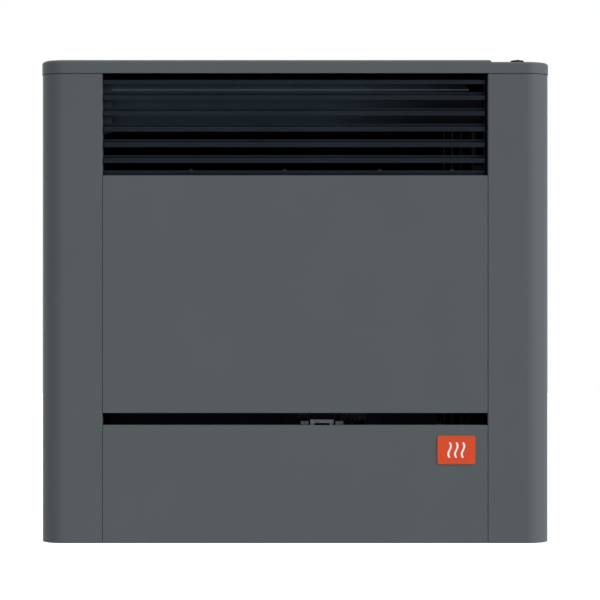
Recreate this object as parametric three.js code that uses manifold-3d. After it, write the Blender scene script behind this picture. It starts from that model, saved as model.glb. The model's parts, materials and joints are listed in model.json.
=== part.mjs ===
// Wall-hung balanced flue gas heater, in millimetres: +Z up, front towards -Y, wall at Y 0.
// The origin is on the back plate, where it meets the wall, at half the casing's width and height.

import * as THREE from 'three';
import { mergeVertices } from 'three/addons/utils/BufferGeometryUtils.js';
import Module from 'manifold-3d';

const wasm = await Module();
wasm.setup();

// Casing
const casingWidth = 646;
const casingHeight = 612.5; // bottom edge to the cover's raised field
const casingDepth = 230;
const stileWidth = 78.5; // front face of a side panel, up to the middle panels
const cornerRadius = 33;
const sheet = 1;
const returnDepth = 14; // edges folded back towards the wall
const rearReturn = 14; // side panel's rear flange
const panelSeam = 0.5;
const coverSeam = 0.6;
const seatGap = 0.3; // between pieces that rest on each other
const cutOverrun = 2; // how far a cutting body runs past what it cuts
const weldDistance = 0.0001;

// Middle of the front, from the bottom up
const doorHeight = 149.5;
const fingerGap = 15.5;
const outletHeight = 129.7; // front panel's top to the cover's skirt

// Top cover
const coverHeight = 16.9;
const coverOverhang = 0.7;
const coverEdgeRadius = 3;
const fieldStep = 2.5; // how far the raised field stands above the control end
const fieldEdgeRadius = 4;
const controlEndMargin = 12.2; // raised field to the knob's bezel

// Back and base
const backSheet = 1.2;
const backPlateInset = 1.5;
const keyholeHead = 6;
const keyholeSlot = 3;
const keyholeRise = 14;
const keyholeInset = 36.5; // from the back plate's side
const keyholeDrop = 116; // from its top
const keyholeFoot = 60; // above its bottom
const coverTabWidth = 30;
const coverTabHeight = 10;
const coverTabAcross = 400;
const baseRise = 3;
const baseUpstand = 20;
const baseSlotLength = 60;
const baseSlotWidth = 8;
const baseSlotPitchX = 78;
const baseSlotPitchY = 22;
const baseSlotsFromSide = 83;
const baseSlotsFromWall = 38;
const baseSlotsFromFront = 24;

// Grille
const slatCount = 6;
const slatLip = 5.6;
const slatRise = 5;
const slatFlange = 2.6; // upright edge behind a slat's web
const slatRecess = 4;
const slatRightShort = 3.2; // the slats stop short of the right side panel
const topSlatDrop = 7.95; // cover's skirt down to the first slat
const lastSlatRise = 21.75; // front panel's top up to the last slat
const bottomRailHeight = 6.45;
const bottomRailHem = 3.2; // its front stands out over this height
const bottomRailStep = 1.5;
const bottomRailDepth = 6;
const endPlateLug = 17; // behind the side panel's return
const endPlateFlange = 11; // shows between the upper slats
const endPlateFoot = 1.2;
const endPlateSlant = 3.3;
const endPlateFlangeLength = 71.8;
const endPlateHeadroom = 2; // under the cover
const endTabWidth = 12;
const endTabHeight = 7;
const endTabRise = 6;

// Air deflector behind the upper slats
const deflectorFlange = 10;
const beadRadius = 1.6;
const deflectorLean = 16;
const deflectorHeight = 64;
const deflectorOverlap = 6; // past each side of the opening
const notchFromRight = 23.3; // cut-out at its right end: opening's side to the notch's upright edge
const notchDrop = 15;
const notchUpright = 4.6; // above it the edge runs at 45 degrees

// Cross rail and lower door
const railHeight = 20;
const railFlange = 10;
const railDrop = 2; // front panel's bottom edge up to the rail
const railLug = 6; // behind each side panel's return
const doorPinSetback = 8; // front face to the hinge line
const doorPinHeight = 8;
const doorPinRadius = 2.5;
const doorPinPlay = 0.4;
const doorFlangeNotch = 12;
const hingeSheet = 2;
const hingeNose = 5.5;
const hingeFoot = 24;
const hingeSideGap = 1.7;
const badgeWidth = 48;
const badgeHeight = 35.9;
const badgeCorner = 3;
const badgeThickness = 0.8;
const badgeRight = 15.9; // badge's right edge to the door's
const badgeDrop = 13.4; // door's top edge to the badge

// Door latch
const latchOffsetX = 34;
const latchWidth = 54;
const latchTabWidth = 10;
const latchTabRise = 5.2;
const latchPlateDrop = 38;
const latchShelfDepth = 13;
const sliderWidth = 29.5;
const sliderRise = 7;
const sliderDepth = 9;
const sliderDrop = 20;
const sliderSide = 5; // left on each side of the slider's slot
const sliderSlotRise = 2.6;
const sliderSlotDrop = 8;
const sliderNose = 4.5;
const springInset = 0.9; // inside the slider's depth
const springWire = 0.45;
const springTurns = 6;
const springSides = 5;
const springStepsPerTurn = 8;
const keeperWidth = 24;
const keeperClear = 1.3;
const latchCutGap = 1.5;

// Controls at the cover's right end
const knobSetback = 60; // front face to the knob's axis
const knobPress = 3.5;
const knobRadius = 19;
const knobSink = 3.6; // skirt's underside below the control end
const knobSkirtHeight = 3.4;
const knobSkirtSlope = 4;
const gripRadius = 8.9;
const gripHeight = 8; // above the control end
const gripRounding = 2.6;
const pointerWidth = 1.6;
const pointerHeight = 0.4;
const socketDepth = 7;
const bezelLip = 2.3; // rim beyond the cup
const bezelRimHeight = 0.8;
const bezelRadius = 23.7;
const bezelWall = 1.2;
const bezelRoom = 0.7; // left under the pressed knob
const stemRadius = 4;
const stemPlay = 0.4;
const collarRadius = 7;
const collarHeight = 3;
const collarLift = 4; // valve's top up to the collar
const piezoBehindKnob = 75;
const piezoRadius = 8;
const piezoLength = 52;
const piezoRim = 11;
const piezoRimHeight = 1.5;
const piezoWall = 0.8;
const piezoBore = 12;
const piezoButtonRadius = 6.4;
const piezoButtonRise = 3.5;
const piezoButtonDeep = 6;

// Gas valve and its bracket
const valveFromSide = 12.8; // casing's side to the valve
const valveWidth = 46;
const valveDepth = 56;
const valveHeight = 58;
const valveTopDrop = 33; // control end down to the valve's top face
const valveBossRadius = 13;
const valveBossHeight = 8;
const valveBoreDepth = 16;
const valveInletRadius = 11;
const valveInletLength = 14;
const valveOutletRadius = 8;
const valveOutletLength = 9;
const valveOutletRise = 20;
const bracketSheet = 2;
const bracketFlange = 26;
const bracketMargin = 4;

// Pipes and leads
const inletPipeRadius = 7;
const unionRadius = 13;
const unionHeight = 22;
const unionBottomZ = 1.5;
const unionHoleGap = 0.8; // round the union in the base plate
const unionBore = 8.5;
const unionBoreDepth = 12;
const supplyPipeRadius = 5;
const supplyBend = 18;
const supplyElbowRise = 62; // burner's axis up to where the supply pipe turns back
const pilotTubeRadius = 2;
const leadRadius = 2.2;
const couplePipeRadius = 1.5;
const smallBend = 10;
const lineStep = 11; // between the lines, and between them and what they pass
const lineDrop = 17; // chamber's bottom edge down to the highest line
const pipeSides = 10;
const tubeSides = 8;
const bendSteps = 3;

// Combustion chamber
const chamberFromSide = 85; // casing's left side to the chamber's flange
const chamberBottomZ = 95;
const chamberFromTop = 162.5;
const chamberFromFront = 60;
const chamberStandoff = 62; // wall to the chamber's rear
const chamberWall = 1.5;
const chamberFlange = 14;
const gasketThickness = 2;
const chamberRibWidth = 12;
const chamberRibRise = 6;
const chamberRibPitch = 44;
const chamberRibMargin = 24;
const windowX = 75;
const windowZ = 50; // above the chamber's bottom
const windowWidth = 90;
const windowHeight = 34;
const glassLap = 8;
const glassThickness = 4;
const frameLap = 9;
const frameLip = 1.5;

// Burner and pilot, inside the chamber
const burnerRadius = 12;
const burnerWall = 1;
const burnerFromLeft = 34; // chamber's left wall to the burner's closed end
const burnerRise = 36; // chamber's floor to the burner's axis
const burnerDepthShare = 0.5; // of the chamber's depth
const portWidth = 2;
const portDepth = 3;
const portPitch = 14;
const portsFromEnd = 30;
const supportWidth = 3;
const supportDepth = 20;
const supportFromEnd = 40;
const injectorRadius = 8;
const injectorNose = 5;
const injectorLength = 30;
const injectorNoseLength = 12;
const pilotFromFront = 16; // chamber's flange to the pilot
const pilotShelfRise = 20;
const pilotShelfWidth = 56;
const pilotShelfDepth = 16;
const pilotSpacing = 18;
const pilotRadius = 4.5;
const pilotHeight = 24;
const probeRadius = 2.2;
const probeHeight = 28;
const electrodeRadius = 3.2;
const electrodeHeight = 18;
const sparkRodRadius = 1;
const sparkRodHeight = 10;

// Flue, air duct and air box
const flueRadius = 38;
const flueWall = 1.2;
const flueLength = 90; // past the wall face
const flueFlange = 10;
const ductRadius = 55;
const ductWall = 1.2;
const ductLength = 60;
const ductFlange = 12;
const boreGap = 0.6; // round a tube in its hole
const airBoxSide = 8; // past the duct's flange at each side
const airBoxHead = 12;
const airBoxFoot = 10; // chamber's bottom edge up to the air box
const airPortWidth = 90;
const airPortHeight = 36;
const airPortRise = 30;
const spacerFromWall = 40;
const spacerLength = 8;
const spacerArm = 8;
const spacerRing = 1.6;
const spacerArms = 3;
const standWidth = 26;
const standHeight = 60;
const standSheet = 2;
const standInset = 60; // chamber's side to a stand's middle

// Thermostat sensor under the chamber
const bulbRadius = 4;
const bulbLength = 90;
const bulbX = 150;
const bulbFromWall = 60;
const bulbHeight = 22;
const capillaryRadius = 1.2;
const capillaryBend = 5;
const capillaryStandoff = 7; // from the valve's side
const clipWidth = 10;
const clipDepth = 16;

const roundSides = 32;
const smallSides = 16;
const cornerSegments = 6;
const rightAngle = Math.PI / 2;

// Places that several pieces share
const halfWidth = casingWidth / 2;
const openingHalf = halfWidth - stileWidth;
const frontY = -casingDepth;
const returnY = frontY + returnDepth; // where the folded edges end
const railY = returnY + seatGap;
const coverBottomZ = casingHeight - coverHeight;
const controlEndZ = casingHeight - fieldStep;
const frontPanelZ = doorHeight + fingerGap;
const grilleBottomZ = coverBottomZ - outletHeight;
const slatPitch = (outletHeight - topSlatDrop - lastSlatRise) / (slatCount - 1);
const rearY = -backSheet - seatGap;
const knobX = halfWidth - valveFromSide - valveWidth / 2;
const knobY = frontY + knobSetback;
const piezoY = knobY + piezoBehindKnob;
const bezelRim = bezelRadius + bezelLip;
const fieldRight = knobX - bezelRim - controlEndMargin;
const valveLeft = knobX - valveWidth / 2;
const valveTopZ = controlEndZ - valveTopDrop;
const valveBottomZ = valveTopZ - valveHeight;
const supplyDropX = valveLeft - valveOutletLength - seatGap - supplyBend - supplyPipeRadius;
const chamberLeft = -halfWidth + chamberFromSide;
const chamberRight = supplyDropX - supplyPipeRadius - 4 * lineStep;
const chamberWidth = chamberRight - chamberLeft; // over its flanges
const chamberCentreX = (chamberLeft + chamberRight) / 2;
const chamberHeight = casingHeight - chamberFromTop - chamberBottomZ;
const chamberRearY = -chamberStandoff;
const chamberFrontY = frontY + chamberFromFront;
const chamberDepth = chamberRearY - chamberFrontY;
const ductRim = ductRadius + ductFlange;
const flueZ = chamberBottomZ + chamberHeight - chamberFlange - chamberWall - ductRim;
const pilotX = windowX;

const paint = (color, roughness, metalness) => new THREE.MeshStandardMaterial({
  color, roughness, metalness,
});
const caseGrey = paint(0x565b5f, 0.5, 0.1);
const grilleBlack = paint(0x20262b, 0.45, 0.2);
const plainBlack = paint(0x121416, 0.6, 0);
const zincSteel = paint(0x9a9ea1, 0.4, 0.8);
const enamel = paint(0x2b2c2e, 0.6, 0.3);
const castAlloy = paint(0xa8abad, 0.5, 0.7);
const brass = paint(0xb99a56, 0.35, 0.9);
const copper = paint(0xa8663d, 0.4, 0.9);
const stainless = paint(0xb4b4b0, 0.3, 0.9);
const fibre = paint(0xcfc8ba, 0.95, 0);
const ceramic = paint(0xe8e4da, 0.4, 0);
const glassDark = paint(0x3a3f42, 0.1, 0);
const badgeOrange = paint(0xd2502b, 0.4, 0.1);

// A closed geometry as a solid with shared corners, its faces turned outwards.
function solidOf(geometry) {
  const bare = geometry.clone();
  bare.deleteAttribute('normal');
  bare.deleteAttribute('uv');
  const joined = mergeVertices(bare, weldDistance);
  const corners = joined.index.array;
  const place = joined.attributes.position;
  const kept = [];
  const a = new THREE.Vector3();
  const b = new THREE.Vector3();
  const c = new THREE.Vector3();
  let volume = 0;
  for (let i = 0; i < corners.length; i += 3) {
    const [p, q, r] = corners.slice(i, i + 3);
    if (p === q || q === r || r === p) continue;
    kept.push(p, q, r);
    b.fromBufferAttribute(place, q).cross(c.fromBufferAttribute(place, r));
    volume += a.fromBufferAttribute(place, p).dot(b);
  }
  if (volume < 0) kept.reverse();
  return new wasm.Manifold(new wasm.Mesh({
    numProp: 3,
    vertProperties: new Float32Array(place.array),
    triVerts: new Uint32Array(kept),
  }));
}

// A named mesh of a solid, added to its assembly.
function addPiece(assembly, name, solid, material) {
  const { vertProperties, triVerts } = solid.getMesh();
  const geometry = new THREE.BufferGeometry();
  geometry.setAttribute('position', new THREE.BufferAttribute(vertProperties, 3));
  geometry.setIndex(new THREE.BufferAttribute(triVerts, 1));
  geometry.computeVertexNormals();
  const mesh = new THREE.Mesh(geometry, material);
  mesh.name = name;
  assembly.add(mesh);
  return mesh;
}

function subAssembly(parent, x, y, z) {
  const group = new THREE.Group();
  group.position.set(x, y, z);
  parent.add(group);
  return group;
}

const merge = (...solids) => solids.reduce((whole, next) => whole.add(next));
const cut = (whole, ...solids) => solids.reduce((rest, next) => rest.subtract(next), whole);

function block(x0, x1, y0, y1, z0, z1) {
  const geometry = new THREE.BoxGeometry(x1 - x0, y1 - y0, z1 - z0);
  return solidOf(geometry.translate((x0 + x1) / 2, (y0 + y1) / 2, (z0 + z1) / 2));
}

// Cylinders along each axis, from one end to the other.
function rodX(radius, x0, x1, y, z, sides = smallSides) {
  const geometry = new THREE.CylinderGeometry(radius, radius, x1 - x0, sides);
  return solidOf(geometry.rotateZ(rightAngle).translate((x0 + x1) / 2, y, z));
}

function rodY(radius, x, y0, y1, z, sides = smallSides) {
  const geometry = new THREE.CylinderGeometry(radius, radius, y1 - y0, sides);
  return solidOf(geometry.translate(x, (y0 + y1) / 2, z));
}

function rodZ(radius, x, y, z0, z1, sides = smallSides) {
  const geometry = new THREE.CylinderGeometry(radius, radius, z1 - z0, sides);
  return solidOf(geometry.rotateX(rightAngle).translate(x, y, (z0 + z1) / 2));
}

// A turned piece about Z, or about Y, from [radius, height] pairs that close on themselves or on the axis.
function turnedZ(profile, sides = roundSides) {
  const geometry = new THREE.LatheGeometry(profile.map(([r, h]) => new THREE.Vector2(r, h)), sides);
  return solidOf(geometry.rotateX(rightAngle));
}

function turnedY(profile, sides = roundSides) {
  return solidOf(new THREE.LatheGeometry(profile.map(([r, h]) => new THREE.Vector2(r, h)), sides));
}

const outline = (points) => new THREE.Shape(points.map(([u, v]) => new THREE.Vector2(u, v)));

// Outlines drawn in XY, XZ or YZ and given a thickness along the axis that is left.
function prismZ(shape, z0, z1, curveSegments = cornerSegments) {
  const geometry = new THREE.ExtrudeGeometry(shape, { depth: z1 - z0, bevelEnabled: false, curveSegments });
  return solidOf(geometry.translate(0, 0, z0));
}

function prismY(shape, y0, y1, curveSegments = cornerSegments) {
  const geometry = new THREE.ExtrudeGeometry(shape, { depth: y1 - y0, bevelEnabled: false, curveSegments });
  return solidOf(geometry.rotateX(rightAngle).translate(0, y1, 0));
}

function prismX(shape, x0, x1, curveSegments = cornerSegments) {
  const geometry = new THREE.ExtrudeGeometry(shape, { depth: x1 - x0, bevelEnabled: false, curveSegments });
  const turn = new THREE.Matrix4().makeBasis(
    new THREE.Vector3(0, 1, 0), new THREE.Vector3(0, 0, 1), new THREE.Vector3(1, 0, 0));
  return solidOf(geometry.applyMatrix4(turn).translate(x0, 0, 0));
}

// A shallow tray of sheet, open towards the wall, with its face at the front.
function tray(x0, x1, z0, z1, depth, thickness) {
  const hollow = block(x0 + thickness, x1 - thickness, frontY + thickness, frontY + depth + cutOverrun,
    z0 + thickness, z1 - thickness);
  return cut(block(x0, x1, frontY, frontY + depth, z0, z1), hollow);
}

// Corners of a ring round the origin.
function ringPoints(radius, sides) {
  return Array.from({ length: sides }, (_, i) => {
    const angle = 2 * Math.PI * i / sides;
    return [radius * Math.cos(angle), radius * Math.sin(angle)];
  });
}

// Straight runs joined by round bends. It has a stop at each end of a run and a few round each bend.
class PipeRoute extends THREE.Curve {
  constructor(corners, bend) {
    super();
    const points = corners.map((corner) => new THREE.Vector3(...corner));
    this.stops = [points[0]];
    for (let i = 1; i < points.length - 1; i++) {
      const before = points[i - 1].clone().sub(points[i]).setLength(bend).add(points[i]);
      const after = points[i + 1].clone().sub(points[i]).setLength(bend).add(points[i]);
      this.stops.push(...new THREE.QuadraticBezierCurve3(before, points[i], after).getPoints(bendSteps));
    }
    this.stops.push(points[points.length - 1]);
  }

  getPointAt(share, point = new THREE.Vector3()) {
    return point.copy(this.stops[Math.round(share * (this.stops.length - 1))]);
  }

  getTangentAt(share, tangent = new THREE.Vector3()) {
    const i = Math.round(share * (this.stops.length - 1));
    const back = this.stops[Math.max(i - 1, 0)];
    const ahead = this.stops[Math.min(i + 1, this.stops.length - 1)];
    return tangent.subVectors(ahead, back).normalize();
  }
}

function pipe(radius, corners, bend, sides) {
  const route = new PipeRoute(corners, bend);
  return solidOf(new THREE.ExtrudeGeometry(outline(ringPoints(radius, sides)), {
    steps: route.stops.length - 1, extrudePath: route, bevelEnabled: false,
  }));
}

// Sheet panels and frame

// Plan outline of the right side panel: stile, rounded corner, side and rear flange.
function sidePanelOutline() {
  const shape = new THREE.Shape();
  const arcX = halfWidth - cornerRadius;
  const arcY = frontY + cornerRadius;
  const flangeX = halfWidth - rearReturn;
  shape.moveTo(openingHalf, returnY);
  shape.lineTo(openingHalf, frontY);
  shape.lineTo(arcX, frontY);
  shape.absarc(arcX, arcY, cornerRadius, -rightAngle, 0, false);
  shape.lineTo(halfWidth, rearY);
  shape.lineTo(flangeX, rearY);
  shape.lineTo(flangeX, rearY - sheet);
  shape.lineTo(halfWidth - sheet, rearY - sheet);
  shape.lineTo(halfWidth - sheet, arcY);
  shape.absarc(arcX, arcY, cornerRadius - sheet, 0, -rightAngle, true);
  shape.lineTo(openingHalf + sheet, frontY + sheet);
  shape.lineTo(openingHalf + sheet, returnY);
  return shape;
}

function addSidePanels(unit) {
  const panel = prismZ(sidePanelOutline(), 0, coverBottomZ - coverSeam);
  addPiece(unit, 'right_side_panel', panel, caseGrey);
  addPiece(unit, 'left_side_panel', panel.mirror([1, 0, 0]), caseGrey);
}

// Plan outline of the cover, drawn in from its outer edge by an inset.
function coverOutline(inset, right = halfWidth + coverOverhang) {
  const half = halfWidth + coverOverhang - inset;
  const front = frontY - coverOverhang + inset;
  const radius = cornerRadius + coverOverhang - inset;
  const reach = Math.min(right, half);
  const shape = new THREE.Shape();
  shape.moveTo(-half, -inset);
  shape.lineTo(-half, front + radius);
  shape.absarc(-half + radius, front + radius, radius, Math.PI, Math.PI + rightAngle, false);
  if (reach < half) {
    shape.lineTo(reach, front);
  } else {
    shape.lineTo(half - radius, front);
    shape.absarc(half - radius, front + radius, radius, -rightAngle, 0, false);
  }
  shape.lineTo(reach, -inset);
  return shape;
}

// A slab with rounded upper edges, cut level at the skirt's lower edge.
function coverSlab(shape, top, radius) {
  const geometry = new THREE.ExtrudeGeometry(shape, {
    depth: coverHeight, bevelEnabled: true, bevelThickness: radius, bevelSize: radius, bevelOffset: -radius,
    bevelSegments: 3, curveSegments: cornerSegments,
  });
  const slab = solidOf(geometry.translate(0, 0, top - radius - coverHeight));
  const below = block(-casingWidth, casingWidth, -casingWidth, casingWidth, -casingHeight, coverBottomZ);
  return cut(slab, below);
}

function addTopCover(unit) {
  const field = coverSlab(coverOutline(0, fieldRight), casingHeight, fieldEdgeRadius);
  const whole = coverSlab(coverOutline(0), controlEndZ, coverEdgeRadius);
  const hollow = prismZ(coverOutline(sheet), coverBottomZ - cutOverrun, controlEndZ - sheet);
  const fieldHollow = prismZ(coverOutline(fieldEdgeRadius, fieldRight - fieldEdgeRadius),
    coverBottomZ - cutOverrun, casingHeight - sheet);
  const bezelHole = rodZ(bezelRadius + seatGap, knobX, knobY, coverBottomZ, casingHeight + cutOverrun,
    roundSides);
  const piezoHole = rodZ(piezoRadius + seatGap, knobX, piezoY, coverBottomZ, casingHeight + cutOverrun);
  addPiece(unit, 'top_cover', cut(merge(whole, field), hollow, fieldHollow, bezelHole, piezoHole), caseGrey);
}

function addFrontPanel(unit) {
  const half = openingHalf - panelSeam;
  addPiece(unit, 'front_panel', tray(-half, half, frontPanelZ, grilleBottomZ, returnDepth, sheet), caseGrey);
}

// A round head with a narrow slot above it.
function keyhole(x, z) {
  const meet = Math.asin(keyholeSlot / keyholeHead);
  const path = new THREE.Path();
  path.absarc(x, z, keyholeHead, rightAngle - meet, rightAngle + meet, true);
  path.lineTo(x - keyholeSlot, z + keyholeRise);
  path.absarc(x, z + keyholeRise, keyholeSlot, Math.PI, 0, true);
  return path;
}

function addBackPlate(unit) {
  const half = halfWidth - backPlateInset;
  const top = coverBottomZ - seatGap;
  const shape = outline([[-half, 0], [half, 0], [half, top], [-half, top]]);
  for (const side of [-1, 1]) {
    const x = side * (half - keyholeInset);
    shape.holes.push(keyhole(x, top - keyholeDrop), keyhole(x, keyholeFoot));
  }
  const flueHole = rodY(ductRadius + boreGap, chamberCentreX, -casingDepth, casingDepth, flueZ, roundSides);
  let plate = cut(prismY(shape, -backSheet, 0, 3), flueHole);
  const tabY = -sheet - seatGap;
  for (const side of [-1, 1]) {
    const x = side * coverTabAcross / 2;
    const left = x - coverTabWidth / 2;
    const right = x + coverTabWidth / 2;
    plate = merge(plate,
      block(left, right, tabY - backSheet, -backSheet / 2, top - backSheet, top),
      block(left, right, tabY - backSheet, tabY, top - backSheet, top + coverTabHeight));
  }
  addPiece(unit, 'back_plate', plate, plainBlack);
}

function addBasePlate(unit) {
  const half = halfWidth - sheet - seatGap;
  const front = frontY + cornerRadius;
  const back = rearY - sheet - seatGap;
  const columns = Math.floor(2 * (half - baseSlotsFromSide) / baseSlotPitchX);
  const rows = Math.floor((-front - baseSlotsFromFront - baseSlotsFromWall) / baseSlotPitchY);
  const slots = [];
  for (let column = 0; column < columns; column++) {
    for (let row = 0; row < rows; row++) {
      const x = (column - (columns - 1) / 2) * baseSlotPitchX;
      const y = -baseSlotsFromWall - row * baseSlotPitchY;
      slots.push(block(x - baseSlotLength / 2, x + baseSlotLength / 2,
        y - baseSlotWidth / 2, y + baseSlotWidth / 2, 0, baseRise + sheet + cutOverrun));
    }
  }
  const unionHole = rodZ(unionRadius + unionHoleGap, knobX, knobY, 0, baseRise + sheet + cutOverrun,
    roundSides);
  const plate = cut(block(-half, half, front, back, baseRise, baseRise + sheet), ...slots, unionHole);
  const upstand = block(-half, half, front, front + sheet, baseRise, baseRise + baseUpstand);
  addPiece(unit, 'base_plate', merge(plate, upstand), zincSteel);
}

function addCrossRail(unit) {
  const half = openingHalf + railLug;
  const low = frontPanelZ + railDrop;
  const high = low + railHeight;
  const shape = outline([
    [railY, low], [railY + railFlange, low], [railY + railFlange, low + sheet],
    [railY + sheet, low + sheet], [railY + sheet, high - sheet], [railY + railFlange, high - sheet],
    [railY + railFlange, high], [railY, high],
  ]);
  addPiece(unit, 'cross_rail', prismX(shape, -half, half), plainBlack);
}

// Grille

// Section of a slat: an upright lip, a web that runs back and up from it, and an upright edge behind.
function slatOutline() {
  const run = returnDepth - slatRecess;
  const webRise = slatRise - slatFlange;
  const slope = webRise / run;
  const web = sheet * Math.hypot(1, slope);
  return outline([
    [0, -slatLip], [sheet, -slatLip], [sheet, slope * sheet - web], [run, webRise - web], [run, slatRise],
    [run - sheet, slatRise], [run - sheet, slope * (run - sheet)], [0, 0],
  ]);
}

// The first slat's web is level and has no edge behind it.
function headerOutline() {
  const run = returnDepth - slatRecess;
  return outline([[0, -slatLip], [sheet, -slatLip], [sheet, -sheet], [run, -sheet], [run, 0], [0, 0]]);
}

function addGrille(unit) {
  const left = -openingHalf + coverSeam;
  const right = openingHalf - slatRightShort - panelSeam;
  const lipY = frontY + slatRecess;
  const topZ = coverBottomZ - topSlatDrop;
  const slat = prismX(slatOutline(), left, right);
  const header = prismX(headerOutline(), left, right);
  const railLow = grilleBottomZ + seatGap;
  const railHigh = railLow + bottomRailHeight;
  for (let i = 0; i < slatCount; i++) {
    const mesh = addPiece(unit, `louvre_slat_${i + 1}`, i ? slat : header, grilleBlack);
    mesh.position.set(0, lipY, topZ - i * slatPitch);
  }
  const railFront = returnY - bottomRailDepth;
  const railFace = railFront + bottomRailStep;
  const hemLow = railHigh - bottomRailHem;
  addPiece(unit, 'grille_bottom_rail', prismX(outline([
    [railFace, railLow], [railFace + sheet, railLow], [railFace + sheet, railHigh - sheet],
    [returnY, railHigh - sheet], [returnY, railHigh], [railFront, railHigh],
    [railFront, hemLow], [railFace, hemLow],
  ]), left, right), grilleBlack);

  const outer = openingHalf + endPlateLug;
  const foot = openingHalf - endPlateFoot;
  const flange = openingHalf - endPlateFlange;
  const endTop = coverBottomZ - endPlateHeadroom;
  const slantZ = endTop - endPlateFlangeLength;
  addPiece(unit, 'grille_end_left', prismY(outline([
    [-outer, railLow], [-foot, railLow], [-foot, slantZ - endPlateSlant], [-flange, slantZ],
    [-flange, endTop], [-outer, endTop],
  ]), railY, railY + sheet), grilleBlack);
  const rightFoot = right - endPlateFoot;
  const tabLow = railLow + endTabRise;
  addPiece(unit, 'grille_end_right', prismY(outline([
    [rightFoot, railLow], [outer, railLow], [outer, endTop], [rightFoot, endTop],
    [rightFoot, tabLow + endTabHeight], [rightFoot - endTabWidth, tabLow + endTabHeight],
    [rightFoot - endTabWidth, tabLow], [rightFoot, tabLow],
  ]), railY, railY + sheet), grilleBlack);
}

// Sheet behind the upper slats, with a rolled bead, leaning back as it goes down.
function addAirDeflector(unit) {
  const half = openingHalf + deflectorOverlap;
  const front = railY + sheet + seatGap;
  const top = coverBottomZ - topSlatDrop;
  const beadZ = top - deflectorFlange - beadRadius;
  const foot = front + deflectorLean;
  const bottom = top - deflectorHeight;
  const sheetBody = prismX(outline([
    [front, top], [front, beadZ], [foot, bottom], [foot + sheet, bottom],
    [front + sheet, beadZ + sheet], [front + sheet, top],
  ]), -half, half);
  const bead = rodX(beadRadius, -half, half, front + beadRadius, beadZ);
  const notchLeft = openingHalf - notchFromRight;
  const notchLow = top - notchDrop;
  const notchBend = notchLow + notchUpright;
  const notchTop = top + cutOverrun;
  const notch = prismY(outline([
    [notchLeft, notchLow], [halfWidth, notchLow], [halfWidth, notchTop],
    [notchLeft - (notchTop - notchBend), notchTop], [notchLeft, notchBend],
  ]), front - cutOverrun, foot);
  addPiece(unit, 'air_deflector', cut(merge(sheetBody, bead), notch), grilleBlack);
}

// Lower door on its two hinge pins, with the badge and the latch. Its group stands on the hinge line.

function addHinges(unit) {
  const pinY = frontY + doorPinSetback;
  const footY = frontY + cornerRadius + sheet + seatGap;
  const low = baseRise + sheet + seatGap;
  const inner = openingHalf - panelSeam - sheet - hingeSideGap;
  const arm = new THREE.Shape();
  arm.moveTo(footY + hingeFoot, low);
  arm.lineTo(footY + hingeFoot, low + hingeSheet);
  arm.lineTo(footY, low + baseUpstand);
  arm.lineTo(pinY, doorPinHeight + hingeNose);
  arm.absarc(pinY, doorPinHeight, hingeNose, rightAngle, Math.PI + rightAngle, false);
  arm.lineTo(footY - 2 * sheet, doorPinHeight - hingeNose);
  arm.lineTo(footY - 2 * sheet, low);
  const slotTop = baseRise + baseUpstand + seatGap;
  const upstandSlot = block(0, halfWidth, footY - sheet - 2 * seatGap, footY, 0, slotTop);
  const plate = cut(prismX(arm, inner - hingeSheet, inner, 3), upstandSlot);
  const crown = block(inner - hingeSheet, inner, footY - 3 * sheet, footY + hingeSheet,
    slotTop, slotTop + hingeSheet);
  const pin = rodX(doorPinRadius, inner - hingeSheet, openingHalf - seatGap, pinY, doorPinHeight);
  const bracket = merge(plate, crown, pin);
  addPiece(unit, 'hinge_bracket_right', bracket, zincSteel);
  addPiece(unit, 'hinge_bracket_left', bracket.mirror([1, 0, 0]), zincSteel);
}

function addLowerDoor(unit) {
  const half = openingHalf - panelSeam;
  const pinY = frontY + doorPinSetback;
  const latchHalf = latchWidth / 2 + latchCutGap;
  const pan = tray(-half, half, 0, doorHeight, returnDepth, sheet);
  const flangeFront = frontY + sheet;
  const flangeBack = frontY + returnDepth + cutOverrun;
  const latchCut = block(latchOffsetX - latchHalf, latchOffsetX + latchHalf, flangeFront, flangeBack,
    doorHeight - sheet - cutOverrun, doorHeight + cutOverrun);
  const notches = [-1, 1].map((side) => block(
    side < 0 ? -half + sheet : half - doorFlangeNotch, side < 0 ? -half + doorFlangeNotch : half - sheet,
    flangeFront, flangeBack, -cutOverrun, sheet + cutOverrun));
  const pinHole = rodX(doorPinRadius + doorPinPlay, -halfWidth, halfWidth, pinY, doorPinHeight);
  const door = subAssembly(unit, 0, pinY, doorPinHeight);
  const home = [0, -pinY, -doorPinHeight];
  addPiece(door, 'lower_door', cut(pan, latchCut, ...notches, pinHole).translate(home), caseGrey);

  const right = half - badgeRight;
  const top = doorHeight - badgeDrop;
  const left = right - badgeWidth;
  const low = top - badgeHeight;
  const c = badgeCorner;
  const face = new THREE.Shape();
  face.absarc(left + c, low + c, c, Math.PI, Math.PI + rightAngle, false);
  face.absarc(right - c, low + c, c, -rightAngle, 0, false);
  face.absarc(right - c, top - c, c, 0, rightAngle, false);
  face.absarc(left + c, top - c, c, rightAngle, Math.PI, false);
  const badgeY = frontY - seatGap;
  const badge = prismY(face, badgeY - badgeThickness, badgeY, 3);
  addPiece(door, 'badge_plate', badge.translate(home), badgeOrange);
  return door;
}

// The spring's centre line.
class SpringPath extends THREE.Curve {
  constructor(radius, height) {
    super();
    this.radius = radius;
    this.height = height;
  }

  getPoint(share, point = new THREE.Vector3()) {
    const angle = 2 * Math.PI * springTurns * share;
    return point.set(this.radius * Math.cos(angle), this.radius * Math.sin(angle), this.height * share);
  }
}

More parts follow.
